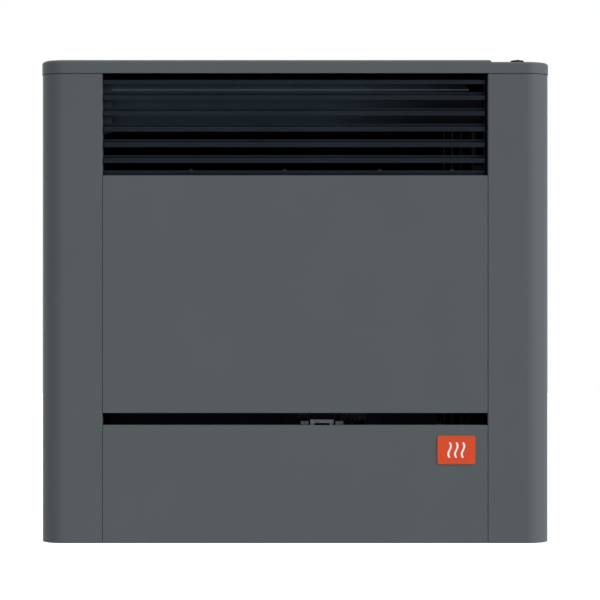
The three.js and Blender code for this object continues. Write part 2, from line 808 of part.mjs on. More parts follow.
// Least gap between points of the spring that lie half a turn or more apart.
function turnGap(path, steps) {
  const points = path.getSpacedPoints(steps);
  let least = Infinity;
  points.forEach((a, i) => points.slice(i + springStepsPerTurn / 2).forEach((b) => {
    least = Math.min(least, a.distanceTo(b) - 2 * springWire);
  }));
  return least;
}

// A plate behind the door's top edge with two ears, a slider between them and the spring that lifts it.
function addLatch(door) {
  const latch = subAssembly(door, latchOffsetX, -doorPinSetback, doorHeight - doorPinHeight);
  const half = latchWidth / 2;
  const plateFront = sheet + seatGap;
  const plateBack = plateFront + sheet;
  const low = -latchPlateDrop;
  const ear = half - latchTabWidth;
  const plate = prismY(outline([
    [-half, low], [half, low], [half, latchTabRise], [ear, latchTabRise], [ear, -sheet - seatGap],
    [-ear, -sheet - seatGap], [-ear, latchTabRise], [-half, latchTabRise],
  ]), plateFront, plateBack);
  const shelf = block(-half, half, plateFront, plateFront + latchShelfDepth, low, low + sheet);
  addPiece(latch, 'latch_base', merge(plate, shelf), zincSteel);

  const sliderFront = plateBack + seatGap;
  const sliderBack = sliderFront + sliderDepth;
  const slide = sliderWidth / 2;
  const body = block(-slide, slide, sliderFront, sliderBack, -sliderDrop, sliderRise);
  const slot = block(sliderSide - slide, slide - sliderSide,
    sliderFront - cutOverrun, sliderBack + cutOverrun, -sliderSlotDrop, sliderSlotRise);
  const nose = prismX(outline([
    [sliderBack, sliderRise], [sliderBack - sheet, sliderRise], [sliderBack - sheet, sliderSlotRise],
    [sliderBack, sliderSlotRise], [sliderBack + sliderNose, sliderRise - sheet],
    [sliderBack + sliderNose, sliderRise],
  ]), -keeperWidth / 2, keeperWidth / 2);
  addPiece(latch, 'latch_slider', merge(cut(body, slot), nose), zincSteel);

  const springLow = low + sheet + springWire + seatGap;
  const springHigh = -sliderDrop - springWire - seatGap;
  const path = new SpringPath(sliderDepth / 2 - springInset, springHigh - springLow);
  const steps = springTurns * springStepsPerTurn;
  const coil = new THREE.ExtrudeGeometry(outline(ringPoints(springWire, springSides)), {
    steps, extrudePath: path, bevelEnabled: false,
  });
  console.log(`latch spring: least gap between its turns is ${turnGap(path, steps).toFixed(2)} mm`);
  const springY = (sliderFront + sliderBack) / 2;
  const spring = addPiece(latch, 'latch_spring', solidOf(coil), stainless);
  spring.position.set(0, springY, springLow);

  return doorHeight + sliderRise;
}

// Lip under the cross rail, just above the latch's nose.
function addKeeper(unit, noseZ) {
  const left = latchOffsetX - keeperWidth / 2;
  const right = latchOffsetX + keeperWidth / 2;
  const high = frontPanelZ + railDrop - seatGap;
  const lip = block(left, right, railY, railY + sheet, noseZ + keeperClear, high);
  const foot = block(left, right, railY, railY + railFlange, high - sheet, high);
  addPiece(unit, 'latch_keeper', merge(lip, foot), plainBlack);
}

// Controls, gas valve and pipes. Their group stands on the knob's axis.

function addControls(unit) {
  const controls = subAssembly(unit, knobX, knobY, controlEndZ);
  const stemHole = stemRadius + stemPlay;

  const rimTop = seatGap + bezelRimHeight;
  const cup = bezelRadius - bezelWall;
  const floor = -knobSink - knobPress - bezelRoom;
  const under = floor - bezelWall;
  addPiece(controls, 'knob_bezel', turnedZ([
    [stemHole, under], [bezelRadius, under], [bezelRadius, seatGap], [bezelRim, seatGap],
    [bezelRim, rimTop], [cup, rimTop], [cup, floor], [stemHole, floor], [stemHole, under],
  ]), plainBlack);

  const skirtTop = knobSkirtHeight - knobSink;
  const grip = turnedZ([
    [0, -knobSink], [knobRadius, -knobSink], [knobRadius, skirtTop - knobSkirtHeight / 2],
    [knobRadius - knobSkirtSlope, skirtTop], [gripRadius + gripRounding / 2, skirtTop],
    [gripRadius, skirtTop + gripRounding / 2], [gripRadius, gripHeight - gripRounding],
    [gripRadius - gripRounding / 3, gripHeight - gripRounding / 3], [gripRadius - gripRounding, gripHeight],
    [0, gripHeight],
  ]);
  const pointer = block(-pointerWidth / 2, pointerWidth / 2, -gripRadius, -gripRadius / 3,
    gripHeight / 2, gripHeight + pointerHeight);
  const socket = rodZ(stemRadius + seatGap, 0, 0, -knobSink - cutOverrun, socketDepth - knobSink);
  addPiece(controls, 'control_knob', cut(merge(grip, pointer), socket), plainBlack);

  const bossTop = valveBossHeight - valveTopDrop;
  const stemTop = socketDepth - knobSink - seatGap;
  const stemBottom = bossTop - valveBoreDepth + knobPress + seatGap;
  addPiece(controls, 'valve_stem', rodZ(stemRadius, 0, 0, stemBottom, stemTop), stainless);
  const collarLow = bossTop + collarLift;
  addPiece(controls, 'stem_collar', turnedZ([
    [stemRadius + seatGap, collarLow], [collarRadius, collarLow], [collarRadius, collarLow + collarHeight],
    [stemRadius + seatGap, collarLow + collarHeight], [stemRadius + seatGap, collarLow],
  ], smallSides), brass);

  const w = valveWidth / 2;
  const d = valveDepth / 2;
  const valveLow = -valveTopDrop - valveHeight;
  const body = block(-w, w, -d, d, valveLow, -valveTopDrop);
  const boss = rodZ(valveBossRadius, 0, 0, -valveTopDrop - valveBossHeight, bossTop);
  const inlet = rodZ(valveInletRadius, 0, 0, valveLow - valveInletLength, valveLow + valveInletLength);
  const outlet = rodX(valveOutletRadius, -w - valveOutletLength, 0, 0, valveLow + valveOutletRise);
  const bore = rodZ(stemHole, 0, 0, bossTop - valveBoreDepth, bossTop + cutOverrun);
  addPiece(controls, 'gas_valve', cut(merge(body, boss, inlet, outlet), bore), castAlloy);

  const piezo = subAssembly(controls, 0, piezoY - knobY, 0);
  const rim = seatGap + piezoRimHeight;
  const mouth = piezoButtonRadius + piezoWall;
  addPiece(piezo, 'piezo_igniter', turnedZ([
    [0, -piezoLength], [piezoRadius, -piezoLength], [piezoRadius, seatGap], [piezoRim, seatGap],
    [piezoRim, rim],
    [mouth, rim], [mouth, rim - piezoBore], [0, rim - piezoBore],
  ], smallSides), plainBlack);
  const crown = rim + piezoButtonRise;
  addPiece(piezo, 'piezo_button', turnedZ([
    [0, rim - piezoButtonDeep], [piezoButtonRadius, rim - piezoButtonDeep],
    [piezoButtonRadius, crown - piezoWall], [piezoButtonRadius - piezoWall, crown], [0, crown],
  ], smallSides), plainBlack);
}

// Shelf on the back plate that carries the gas valve.
function addValveBracket(unit) {
  const left = knobX - valveWidth / 2 + bracketMargin;
  const right = halfWidth - rearReturn - seatGap;
  const back = -backSheet - seatGap;
  const front = knobY - valveDepth / 2;
  const top = valveBottomZ - seatGap;
  const shelf = block(left, right, front, back, top - bracketSheet, top);
  const flange = block(left, right, back - bracketSheet, back, top - bracketSheet, top + bracketFlange);
  const hole = rodZ(valveInletRadius + boreGap, knobX, knobY,
    top - bracketSheet - cutOverrun, top + cutOverrun);
  addPiece(unit, 'valve_bracket', cut(merge(shelf, flange), hole), zincSteel);
}

function addPipes(unit, burner) {
  const inletTop = valveBottomZ - valveInletLength - seatGap;
  const unionTop = unionBottomZ + unionHeight;
  addPiece(unit, 'gas_inlet_pipe',
    rodZ(inletPipeRadius, knobX, knobY, unionTop + seatGap, inletTop), copper);
  const nut = rodZ(unionRadius, knobX, knobY, unionBottomZ, unionTop, 6);
  const mouth = rodZ(unionBore, knobX, knobY, unionBottomZ - cutOverrun, unionBottomZ + unionBoreDepth);
  addPiece(unit, 'inlet_union', cut(nut, mouth), brass);

  const outletZ = valveBottomZ + valveOutletRise;
  const elbowZ = burner.z + supplyElbowRise;
  addPiece(unit, 'burner_supply_pipe', pipe(supplyPipeRadius, [
    [valveLeft - valveOutletLength - seatGap, knobY, outletZ], [supplyDropX, knobY, outletZ],
    [supplyDropX, knobY, elbowZ], [supplyDropX, burner.y, elbowZ], [supplyDropX, burner.y, burner.z],
    [burner.tailX + seatGap, burner.y, burner.z],
  ], supplyBend, pipeSides), copper);
}

// Combustion chamber with its window, burner and pilot. Its group stands at the chamber's rear and
// bottom, half way along it.

function addChamber(unit) {
  const chamber = subAssembly(unit, chamberCentreX, chamberRearY, chamberBottomZ);
  const half = chamberWidth / 2;
  const box = half - chamberFlange;
  const flangeTop = chamberHeight;
  const boxLow = chamberFlange;
  const boxTop = chamberHeight - chamberFlange;
  const t = chamberWall;
  const floorTop = boxLow + t;
  const outer = block(-box, box, -chamberDepth, 0, boxLow, boxTop);
  const rim = block(-half, half, -chamberDepth, -chamberDepth + t, 0, flangeTop);
  const hollow = block(-box + t, box - t, -chamberDepth - cutOverrun, -t, boxLow + t, boxTop - t);
  const flueHole = rodY(flueRadius + boreGap, 0, -t - cutOverrun, cutOverrun, flueZ - chamberBottomZ,
    roundSides);
  const airPort = block(-airPortWidth / 2, airPortWidth / 2, -t - cutOverrun, cutOverrun,
    airPortRise, airPortRise + airPortHeight);
  const burnerZ = boxLow + burnerRise;
  const burnerY = -chamberDepth * burnerDepthShare;
  const pilotY = pilotFromFront - chamberDepth;
  const injectorHole = rodX(injectorRadius + boreGap, box - t - cutOverrun, box + cutOverrun,
    burnerY, burnerZ);
  const lineHoles = [-1, 0, 1].map((i) => rodZ(probeRadius + boreGap, pilotX + i * pilotSpacing, pilotY,
    boxLow - cutOverrun, floorTop + cutOverrun));
  addPiece(chamber, 'chamber_shell',
    cut(merge(outer, rim), hollow, flueHole, airPort, injectorHole, ...lineHoles), enamel);

  const gasketBack = -chamberDepth - seatGap;
  const ring = block(-half, half, gasketBack - gasketThickness, gasketBack, 0, flangeTop);
  const ringHole = block(-box, box, gasketBack - gasketThickness - cutOverrun, gasketBack + cutOverrun,
    boxLow, boxTop);
  addPiece(chamber, 'chamber_gasket', cut(ring, ringHole), fibre);

  const plateBack = gasketBack - gasketThickness - seatGap;
  const plateFront = plateBack - t;
  let plate = block(-half, half, plateFront, plateBack, 0, flangeTop);
  const ribLow = windowZ + windowHeight / 2 + glassLap + frameLap + chamberRibMargin;
  const ribHigh = flangeTop - chamberRibMargin;
  const ribSpan = chamberWidth - 4 * chamberRibMargin;
  const ribs = 1 + Math.floor(ribSpan / chamberRibPitch);
  for (let i = 0; i < ribs; i++) {
    const x = (i - (ribs - 1) / 2) * chamberRibPitch;
    const rib = outline([
      [x - chamberRibWidth / 2, plateBack - t / 2], [x - chamberRibWidth / 3, plateFront - chamberRibRise],
      [x + chamberRibWidth / 3, plateFront - chamberRibRise], [x + chamberRibWidth / 2, plateBack - t / 2],
    ]);
    plate = merge(plate, prismZ(rib, ribLow, ribHigh));
  }
  const sight = block(windowX - windowWidth / 2, windowX + windowWidth / 2, plateFront - cutOverrun,
    plateBack + cutOverrun, windowZ - windowHeight / 2, windowZ + windowHeight / 2);
  addPiece(chamber, 'chamber_front', cut(plate, sight), enamel);

  const glassX = windowWidth / 2 + glassLap;
  const glassZ = windowHeight / 2 + glassLap;
  const glassBack = plateFront - seatGap;
  const glassFront = glassBack - glassThickness;
  const window = subAssembly(chamber, windowX, 0, windowZ);
  const glass = block(-glassX, glassX, glassFront, glassBack, -glassZ, glassZ);
  addPiece(window, 'window_glass', glass, glassDark);
  const frameX = glassX + frameLap;
  const frameZ = glassZ + frameLap;
  const frame = block(-frameX, frameX, glassFront - seatGap - frameLip, glassBack, -frameZ, frameZ);
  const pocket = block(-glassX - seatGap, glassX + seatGap, glassFront - seatGap, glassBack + cutOverrun,
    -glassZ - seatGap, glassZ + seatGap);
  const sightHole = block(-windowWidth / 2, windowWidth / 2, glassFront - frameLip - cutOverrun,
    glassBack + cutOverrun, -windowHeight / 2, windowHeight / 2);
  addPiece(window, 'window_frame', cut(frame, pocket, sightHole), enamel);

  addBurner(chamber, box - t, floorTop, burnerY, burnerZ);
  addPilot(chamber, floorTop, pilotY);
  return {
    tailX: chamberCentreX + box + injectorLength / 2, y: chamberRearY + burnerY, z: chamberBottomZ + burnerZ,
    pilotY: chamberRearY + pilotY, shelfZ: chamberBottomZ + floorTop + pilotShelfRise,
  };
}

// Burner tube on two cradles, and the injector that feeds it through the chamber's right wall.
function addBurner(chamber, insideX, floorTop, y, z) {
  const right = insideX - injectorNoseLength - seatGap;
  const left = burnerFromLeft - insideX;
  const shell = rodX(burnerRadius, left, right, y, z);
  const bore = rodX(burnerRadius - burnerWall, left + burnerWall, right + cutOverrun, y, z);
  const portCount = Math.floor((right - left - 2 * portsFromEnd) / portPitch);
  const ports = [];
  for (let i = 0; i < portCount; i++) {
    const x = left + portsFromEnd + i * portPitch;
    ports.push(block(x, x + portWidth, y - burnerRadius / 2, y + burnerRadius / 2,
      z + burnerRadius - portDepth, z + burnerRadius + cutOverrun));
  }
  addPiece(chamber, 'burner_tube', cut(shell, bore, ...ports), stainless);

  const cradle = rodX(burnerRadius + seatGap, left - cutOverrun, right + cutOverrun, y, z);
  const places = { left: left + supportFromEnd, right: right - supportFromEnd };
  for (const [side, x] of Object.entries(places)) {
    const post = block(x, x + supportWidth, y - supportDepth / 2, y + supportDepth / 2,
      floorTop + seatGap, z);
    addPiece(chamber, `burner_support_${side}`, cut(post, cradle), enamel);
  }

  const outside = insideX + chamberWall;
  const stub = rodX(injectorRadius, insideX - cutOverrun, outside + injectorLength / 2, y, z);
  const tip = rodX(injectorNose, insideX - injectorNoseLength, outside, y, z);
  addPiece(chamber, 'burner_injector', merge(stub, tip), brass);
}

// Shelf by the window with the pilot burner and the spark electrode on it. The thermocouple comes up
// through it.
function addPilot(chamber, floorTop, y) {
  const t = chamberWall;
  const shelfTop = floorTop + pilotShelfRise;
  const half = pilotShelfWidth / 2;
  const back = y + pilotShelfDepth / 2;
  const front = y - pilotShelfDepth / 2;
  const shelf = block(pilotX - half, pilotX + half, front, back, shelfTop - t, shelfTop);
  const legLeft = block(pilotX - half, pilotX - half + t, front, back, floorTop + seatGap, shelfTop);
  const legRight = block(pilotX + half - t, pilotX + half, front, back, floorTop + seatGap, shelfTop);
  const holes = [-1, 0, 1].map((i) => rodZ(probeRadius + boreGap, pilotX + i * pilotSpacing, y,
    shelfTop - t - cutOverrun, shelfTop + cutOverrun));
  addPiece(chamber, 'pilot_bracket', cut(merge(shelf, legLeft, legRight), ...holes), zincSteel);

  const stand = shelfTop + seatGap;
  const hood = stand + pilotHeight;
  addPiece(chamber, 'pilot_burner', merge(
    rodZ(pilotRadius, pilotX, y, stand, hood),
    block(pilotX - pilotRadius, pilotX + pilotRadius, y, back, hood - pilotRadius, hood)), stainless);
  const electrodeX = pilotX - pilotSpacing;
  addPiece(chamber, 'spark_electrode', merge(
    rodZ(electrodeRadius, electrodeX, y, stand, stand + electrodeHeight),
    rodZ(sparkRodRadius, electrodeX, y, stand, stand + electrodeHeight + sparkRodHeight)), ceramic);
}

// Lines from the pilot group down through the chamber's floor, beside the chamber and up to the controls.
function addLines(unit, { pilotY: y, shelfZ }) {
  const middleX = chamberCentreX + pilotX;
  const inletZ = valveTopZ - lineStep / 2;
  const entryX = valveLeft - seatGap;
  const riserX = (order) => chamberRight + order * lineStep;

  // From a point on the pilot's shelf to the foot of a riser. Each further line runs lower, and its
  // riser stands further right.
  const route = (x, order) => {
    const runZ = chamberBottomZ - lineDrop - (order - 1) * lineStep;
    return [[x, y, shelfZ], [x, y, runZ], [riserX(order), y, runZ]];
  };

  const probeX = middleX + pilotSpacing;
  const line = pipe(couplePipeRadius, [
    ...route(probeX, 1), [riserX(1), y, inletZ], [entryX, y, inletZ],
  ], smallBend, tubeSides);
  const neck = rodZ(couplePipeRadius, probeX, y, shelfZ - seatGap, shelfZ + probeHeight / 2);
  const probe = rodZ(probeRadius, probeX, y, shelfZ + seatGap, shelfZ + probeHeight);
  addPiece(unit, 'thermocouple', merge(line, neck, probe), copper);

  addPiece(unit, 'pilot_tube', pipe(pilotTubeRadius, [
    ...route(middleX, 2), [riserX(2), y, inletZ - lineStep], [entryX, y, inletZ - lineStep],
  ], smallBend, tubeSides), copper);

  const piezoLow = controlEndZ - piezoLength - seatGap;
  const leadTop = piezoLow - 2 * lineStep;
  addPiece(unit, 'ignition_lead', pipe(leadRadius, [
    ...route(middleX - pilotSpacing, 3), [riserX(3), y, leadTop], [riserX(3), piezoY, leadTop],
    [knobX, piezoY, leadTop], [knobX, piezoY, piezoLow],
  ], smallBend, tubeSides), plainBlack);
}

// Air box, air duct, flue tube and the stands that carry the chamber.

function addFlue(unit) {
  const half = ductRim + airBoxSide;
  const low = chamberBottomZ + airBoxFoot;
  const high = flueZ + ductRim + airBoxHead;
  const front = chamberRearY + seatGap;
  const back = -backSheet - seatGap;
  const t = sheet;
  const boxX = chamberCentreX;
  const shell = block(boxX - half, boxX + half, front, back, low, high);
  const inside = block(boxX - half + t, boxX + half - t, front + t, back + cutOverrun, low + t, high - t);
  const tubeHole = rodY(flueRadius + boreGap, boxX, front - cutOverrun, back, flueZ, roundSides);
  const port = block(boxX - airPortWidth / 2, boxX + airPortWidth / 2,
    front - cutOverrun, front + t + cutOverrun,
    chamberBottomZ + airPortRise, chamberBottomZ + airPortRise + airPortHeight);
  addPiece(unit, 'air_box', cut(shell, inside, tubeHole, port), zincSteel);

  const flue = subAssembly(unit, chamberCentreX, 0, flueZ);
  const ductInner = ductRadius - ductWall;
  addPiece(flue, 'air_duct', turnedY([
    [ductInner, back - sheet], [ductRim, back - sheet], [ductRim, back], [ductRadius, back],
    [ductRadius, ductLength], [ductInner, ductLength], [ductInner, back - sheet],
  ]), castAlloy);

  const flangeY = chamberRearY - chamberWall - seatGap;
  const flueInner = flueRadius - flueWall;
  addPiece(flue, 'flue_tube', turnedY([
    [flueInner, flangeY - flueWall], [flueRadius + flueFlange, flangeY - flueWall],
    [flueRadius + flueFlange, flangeY], [flueRadius, flangeY], [flueRadius, flueLength],
    [flueInner, flueLength], [flueInner, flangeY - flueWall],
  ]), stainless);

  const ringInner = flueRadius + seatGap;
  const ringOuter = ringInner + spacerRing;
  let spacer = turnedY([
    [ringInner, spacerFromWall], [ringOuter, spacerFromWall], [ringOuter, spacerFromWall + spacerLength],
    [ringInner, spacerFromWall + spacerLength], [ringInner, spacerFromWall],
  ]);
  const reach = ductInner * Math.cos(Math.PI / roundSides) - seatGap;
  for (let i = 0; i < spacerArms; i++) {
    const arm = block(-spacerArm / 2, spacerArm / 2, spacerFromWall, spacerFromWall + spacerLength,
      ringInner + spacerRing / 2, Math.sqrt(reach ** 2 - (spacerArm / 2) ** 2));
    spacer = merge(spacer, arm.rotate([0, 360 * i / spacerArms, 0]));
  }
  addPiece(flue, 'flue_spacer', spacer, stainless);

  const standZ = chamberBottomZ + chamberHeight / 2;
  const places = { left: -1, right: 1 };
  for (const [side, way] of Object.entries(places)) {
    const x = chamberCentreX + way * (chamberWidth / 2 - standInset);
    const web = outline([
      [x - standWidth / 2, front], [x + standWidth / 2, front], [x + standWidth / 2, front + standSheet],
      [x - standWidth / 2 + standSheet, front + standSheet],
      [x - standWidth / 2 + standSheet, back - standSheet], [x + standWidth / 2, back - standSheet],
      [x + standWidth / 2, back], [x - standWidth / 2, back],
    ]);
    const stand = prismZ(web, standZ - standHeight / 2, standZ + standHeight / 2);
    addPiece(unit, `chamber_stand_${side}`, stand, zincSteel);
  }
}

// Sensor bulb on a clip over the base plate, its capillary going up to the valve.
function addSensor(unit) {
  const y = -bulbFromWall;
  const low = baseRise + sheet + seatGap;
  const bulb = rodX(bulbRadius, bulbX - bulbLength / 2, bulbX + bulbLength / 2, y, bulbHeight);
  const side = knobX + valveWidth / 2;
  const riseX = side + capillaryStandoff;
  const middleZ = (valveBottomZ + valveTopZ) / 2;
  const capillary = pipe(capillaryRadius, [
    [bulbX, y, bulbHeight], [riseX, y, bulbHeight], [riseX, knobY, bulbHeight + bulbLength],
    [riseX, knobY, middleZ], [side + seatGap, knobY, middleZ],
  ], capillaryBend, tubeSides);
  addPiece(unit, 'thermostat_sensor', merge(bulb, capillary), copper);
  const post = block(bulbX - clipWidth / 2, bulbX + clipWidth / 2, y - clipDepth / 2, y + clipDepth / 2,
    low, bulbHeight);
  const seat = rodX(bulbRadius + seatGap, bulbX - clipWidth, bulbX + clipWidth, y, bulbHeight);
  addPiece(unit, 'sensor_clip', cut(post, seat), zincSteel);
}

const heater = new THREE.Group();
const unit = subAssembly(heater, 0, 0, -casingHeight / 2);

addSidePanels(unit);
addTopCover(unit);
addFrontPanel(unit);
addBackPlate(unit);
addBasePlate(unit);
addCrossRail(unit);
addGrille(unit);
addAirDeflector(unit);
addHinges(unit);
addKeeper(unit, addLatch(addLowerDoor(unit)));
addControls(unit);
addValveBracket(unit);
const burner = addChamber(unit);
addPipes(unit, burner);
addLines(unit, burner);
addFlue(unit);
addSensor(unit);

export default heater;
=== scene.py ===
import json
import math
import random

import bpy
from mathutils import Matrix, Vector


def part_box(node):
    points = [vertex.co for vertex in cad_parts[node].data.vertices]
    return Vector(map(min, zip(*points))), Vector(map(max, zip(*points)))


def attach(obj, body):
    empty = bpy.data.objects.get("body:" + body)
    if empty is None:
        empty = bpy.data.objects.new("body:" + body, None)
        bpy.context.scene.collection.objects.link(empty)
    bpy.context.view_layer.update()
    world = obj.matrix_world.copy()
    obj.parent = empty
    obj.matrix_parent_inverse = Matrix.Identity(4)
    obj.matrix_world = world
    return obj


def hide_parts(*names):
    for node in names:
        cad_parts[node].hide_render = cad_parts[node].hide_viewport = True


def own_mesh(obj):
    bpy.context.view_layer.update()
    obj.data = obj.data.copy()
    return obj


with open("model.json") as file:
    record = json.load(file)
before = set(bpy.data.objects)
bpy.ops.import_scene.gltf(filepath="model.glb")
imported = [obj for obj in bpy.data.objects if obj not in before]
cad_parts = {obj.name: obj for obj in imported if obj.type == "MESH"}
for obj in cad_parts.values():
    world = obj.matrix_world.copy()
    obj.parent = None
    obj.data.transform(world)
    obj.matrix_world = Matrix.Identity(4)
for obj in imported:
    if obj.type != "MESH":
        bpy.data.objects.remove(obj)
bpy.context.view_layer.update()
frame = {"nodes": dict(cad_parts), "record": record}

# Wall-hung flue gas heater: front towards -Y, wall at Y 0, metres throughout.

closeness = {"same": 1e-6, "near": 1e-5, "merge": 2e-6}  # how far apart two spots may be and count as one
squarely = 0.9  # a normal with more than this along an axis looks that way


def report(text):
    print("heater:", text)


# Small helpers around the modelling operators.

def deselect():
    bpy.ops.object.select_all(action="DESELECT")


def onlySelect(*pieces):
    deselect()
    for piece in pieces:
        piece.select_set(True)
    bpy.context.view_layer.objects.active = pieces[-1]


def freeze(piece):  # place, turn and scale go into the mesh
    onlySelect(piece)
    bpy.ops.object.transform_apply(location=True, rotation=True, scale=True)
    return piece


def newest(name):  # the primitive that was just added
    piece = bpy.context.active_object
    piece.name = name
    piece.data.name = name
    return freeze(piece)


def addBlock(name, low, high):
    deselect()
    bpy.ops.mesh.primitive_cube_add(
        size=1, location=[(a + b) / 2 for a, b in zip(low, high)],
        scale=[b - a for a, b in zip(low, high)])
    return newest(name)


axisTurns = {"x": (0, math.pi / 2, 0), "y": (-math.pi / 2, 0, 0), "z": (0, 0, 0)}


def addRod(name, axis, centre, radius, length, sides=32):
    deselect()
    bpy.ops.mesh.primitive_cylinder_add(
        vertices=sides, radius=radius, depth=length, location=centre, rotation=axisTurns[axis])
    return newest(name)


def editAll(piece):  # leaves the piece in edit mode with all of it selected
    onlySelect(piece)
    bpy.ops.object.mode_set(mode="EDIT")
    bpy.ops.mesh.select_all(action="SELECT")


def pick(piece, kind, test):  # leaves the piece in edit mode with the tested items selected
    onlySelect(piece)
    bpy.ops.object.mode_set(mode="EDIT")
    bpy.ops.mesh.select_mode(type=kind)
    bpy.ops.mesh.select_all(action="DESELECT")
    bpy.ops.object.mode_set(mode="OBJECT")
    mesh = piece.data
    if kind == "FACE":
        for face in mesh.polygons:
            face.select = bool(test(face.center, face.normal))
    elif kind == "EDGE":
        for edge in mesh.edges:
            edge.select = bool(test(*[mesh.vertices[i].co for i in edge.vertices]))
    else:
        for point in mesh.vertices:
            point.select = bool(test(point.co))
    bpy.ops.object.mode_set(mode="EDIT")


def leave():
    bpy.ops.object.mode_set(mode="OBJECT")


def removeFaces(piece, test):
    pick(piece, "FACE", test)
    bpy.ops.mesh.delete(type="FACE")
    leave()


def roundEdges(piece, test, width, segments):
    pick(piece, "EDGE", test)
    bpy.ops.mesh.bevel(offset=width, segments=segments, affect="EDGES", clamp_overlap=True)
    leave()


def sliceAt(piece, axis, level, test=None):  # new edges across the axis, on the tested faces or on all
    if test:
        pick(piece, "FACE", test)
    else:
        editAll(piece)
    normal = [1.0 if i == axis else 0.0 for i in range(3)]
    bpy.ops.mesh.bisect(plane_co=[level * n for n in normal], plane_no=normal)
    leave()


def modify(piece, kind, **settings):
    onlySelect(piece)
    modifier = piece.modifiers.new(kind.lower(), kind)
    for setting, value in settings.items():
        setattr(modifier, setting, value)
    bpy.ops.object.modifier_apply(modifier=modifier.name)
    return piece


def soften(piece, width, segments=2, angle=35):
    return modify(piece, "BEVEL", width=width, segments=segments, limit_method="ANGLE",
                  angle_limit=math.radians(angle))


def thicken(piece, thickness):  # inwards from the faces that are there
    return modify(piece, "SOLIDIFY", thickness=thickness, offset=-1, use_even_offset=True)


def combine(piece, operation, others):
    for other in others:
        modify(piece, "BOOLEAN", object=other, operation=operation, solver="EXACT")
        bpy.data.meshes.remove(other.data)
    return piece


def cutAway(piece, *cutters):
    return combine(piece, "DIFFERENCE", cutters)


def weld(piece, *others):
    return combine(piece, "UNION", others)


def joinUp(name, pieces):  # separate shells in one mesh
    onlySelect(*pieces)
    bpy.ops.object.join()
    return newest(name)


def turned(name, centre, profile, axis="z", steps=64):
    # profile: (radius, height) pairs; it is spun round the axis through the centre
    deselect()
    bpy.ops.mesh.primitive_circle_add(vertices=3, radius=1)
    piece = newest(name)
    editAll(piece)
    bpy.ops.mesh.delete(type="VERT")
    leave()
    piece.data.from_pydata([(r, 0, z) for r, z in profile],
                           [(i, i + 1) for i in range(len(profile) - 1)], [])
    editAll(piece)
    bpy.ops.mesh.spin(steps=steps, angle=2 * math.pi, center=(0, 0, 0), axis=(0, 0, 1))
    bpy.ops.mesh.select_all(action="SELECT")
    bpy.ops.mesh.remove_doubles(threshold=closeness["same"])
    bpy.ops.mesh.normals_make_consistent(inside=False)
    leave()
    piece.rotation_euler = axisTurns[axis]
    piece.location = centre
    return freeze(piece)


def strip(name, left, right, path, thickness, fold=0, segments=5):
    # a sheet folded along X: path holds the (y, z) corners of its outer face, which has -Z or +Y on its right
    def on(corner, *points):
        return all(math.dist((p.y, p.z), corner) < closeness["same"] for p in points)

    deselect()
    bpy.ops.mesh.primitive_plane_add(size=1)
    piece = newest(name)
    first, second = path[:2]
    for point in piece.data.vertices:
        start = point.co.y < 0
        point.co = (left if point.co.x < 0 else right, *(first if start else second))
    for before, after in zip(path[1:], path[2:]):
        pick(piece, "EDGE", lambda a, b: on(before, a, b))
        bpy.ops.mesh.extrude_region_move(
            TRANSFORM_OT_translate={"value": (0, after[0] - before[0], after[1] - before[1])})
        leave()
    if fold:
        roundEdges(piece, lambda a, b: any(on(corner, a, b) for corner in path[1:-1]), fold, segments)
    return thicken(piece, thickness)


def tubeAlong(name, points, radius, sides=16):
    line = bpy.data.curves.new(name, "CURVE")
    line.dimensions = "3D"
    line.bevel_depth = radius
    line.bevel_resolution = sides // 4
    line.use_fill_caps = True
    spline = line.splines.new("POLY")
    spline.points.add(len(points) - 1)
    for spot, point in zip(spline.points, points):
        spot.co = (*point, 1)
    piece = bpy.data.objects.new(name, line)
    bpy.context.scene.collection.objects.link(piece)
    onlySelect(piece)
    bpy.ops.object.convert(target="MESH")
    return newest(name)


def run(name, corners, bend, radius, sides=16, steps=8):
    # a tube on rounded corners, each of which takes less than half of the legs beside it
    points = [corners[0]]
    for before, corner, after in zip(corners, corners[1:], corners[2:]):
        into = [c - b for b, c in zip(before, corner)]
        out = [a - c for c, a in zip(corner, after)]
        inLength, outLength = math.hypot(*into), math.hypot(*out)
        reach = min(bend, 0.49 * inLength, 0.49 * outLength)
        for i in range(steps + 1):
            t = i / steps
            points.append([
                c - (1 - t) ** 2 * reach * u / inLength + t ** 2 * reach * v / outLength
                for c, u, v in zip(corner, into, out)])
    points.append(corners[-1])
    return tubeAlong(name, points, radius, sides)


def twinOf(mesh, name):
    twin = bpy.data.objects.new(name, mesh.copy())
    bpy.context.scene.collection.objects.link(twin)
    return twin


def refined(node, width, segments=2):
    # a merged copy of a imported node, its flat faces made whole and its edges rounded
    piece = twinOf(frame["nodes"][node].data, node + "_finish")
    editAll(piece)
    bpy.ops.mesh.remove_doubles(threshold=closeness["merge"])
    bpy.ops.mesh.dissolve_limited(angle_limit=math.radians(1))
    leave()
    return soften(piece, width, segments) if width else piece


def near(value, goal):
    return abs(value - goal) < closeness["near"]


def middleOf(low, high):
    return (low.x + high.x) / 2, (low.y + high.y) / 2


def rounded(radius, top, bend, steps=6):  # (radius, height) points of a rounded rim
    return [(radius - bend + bend * math.cos(math.pi / 2 * i / steps),
             top - bend + bend * math.sin(math.pi / 2 * i / steps)) for i in range(steps + 1)]


def outline(*stages):  # one profile from points whose heights count from several levels; a ring's is closed
    points = [(r, level + height) for level, part in stages for r, height in part]
    return points + points[:1] if points[0][0] else points


bodyOf = {node: body for body, nodes in frame["record"]["behaviour"]["bodies"].items() for node in nodes}


def shade(piece, material, smooth=30):  # large faces stay flat beside their rounded edges
    onlySelect(piece)
    bpy.ops.object.shade_smooth_by_angle(angle=math.radians(smooth))
    modify(piece, "WEIGHTED_NORMAL", mode="FACE_AREA", weight=100, keep_sharp=True)
    piece.data.materials.clear()
    piece.data.materials.append(material)


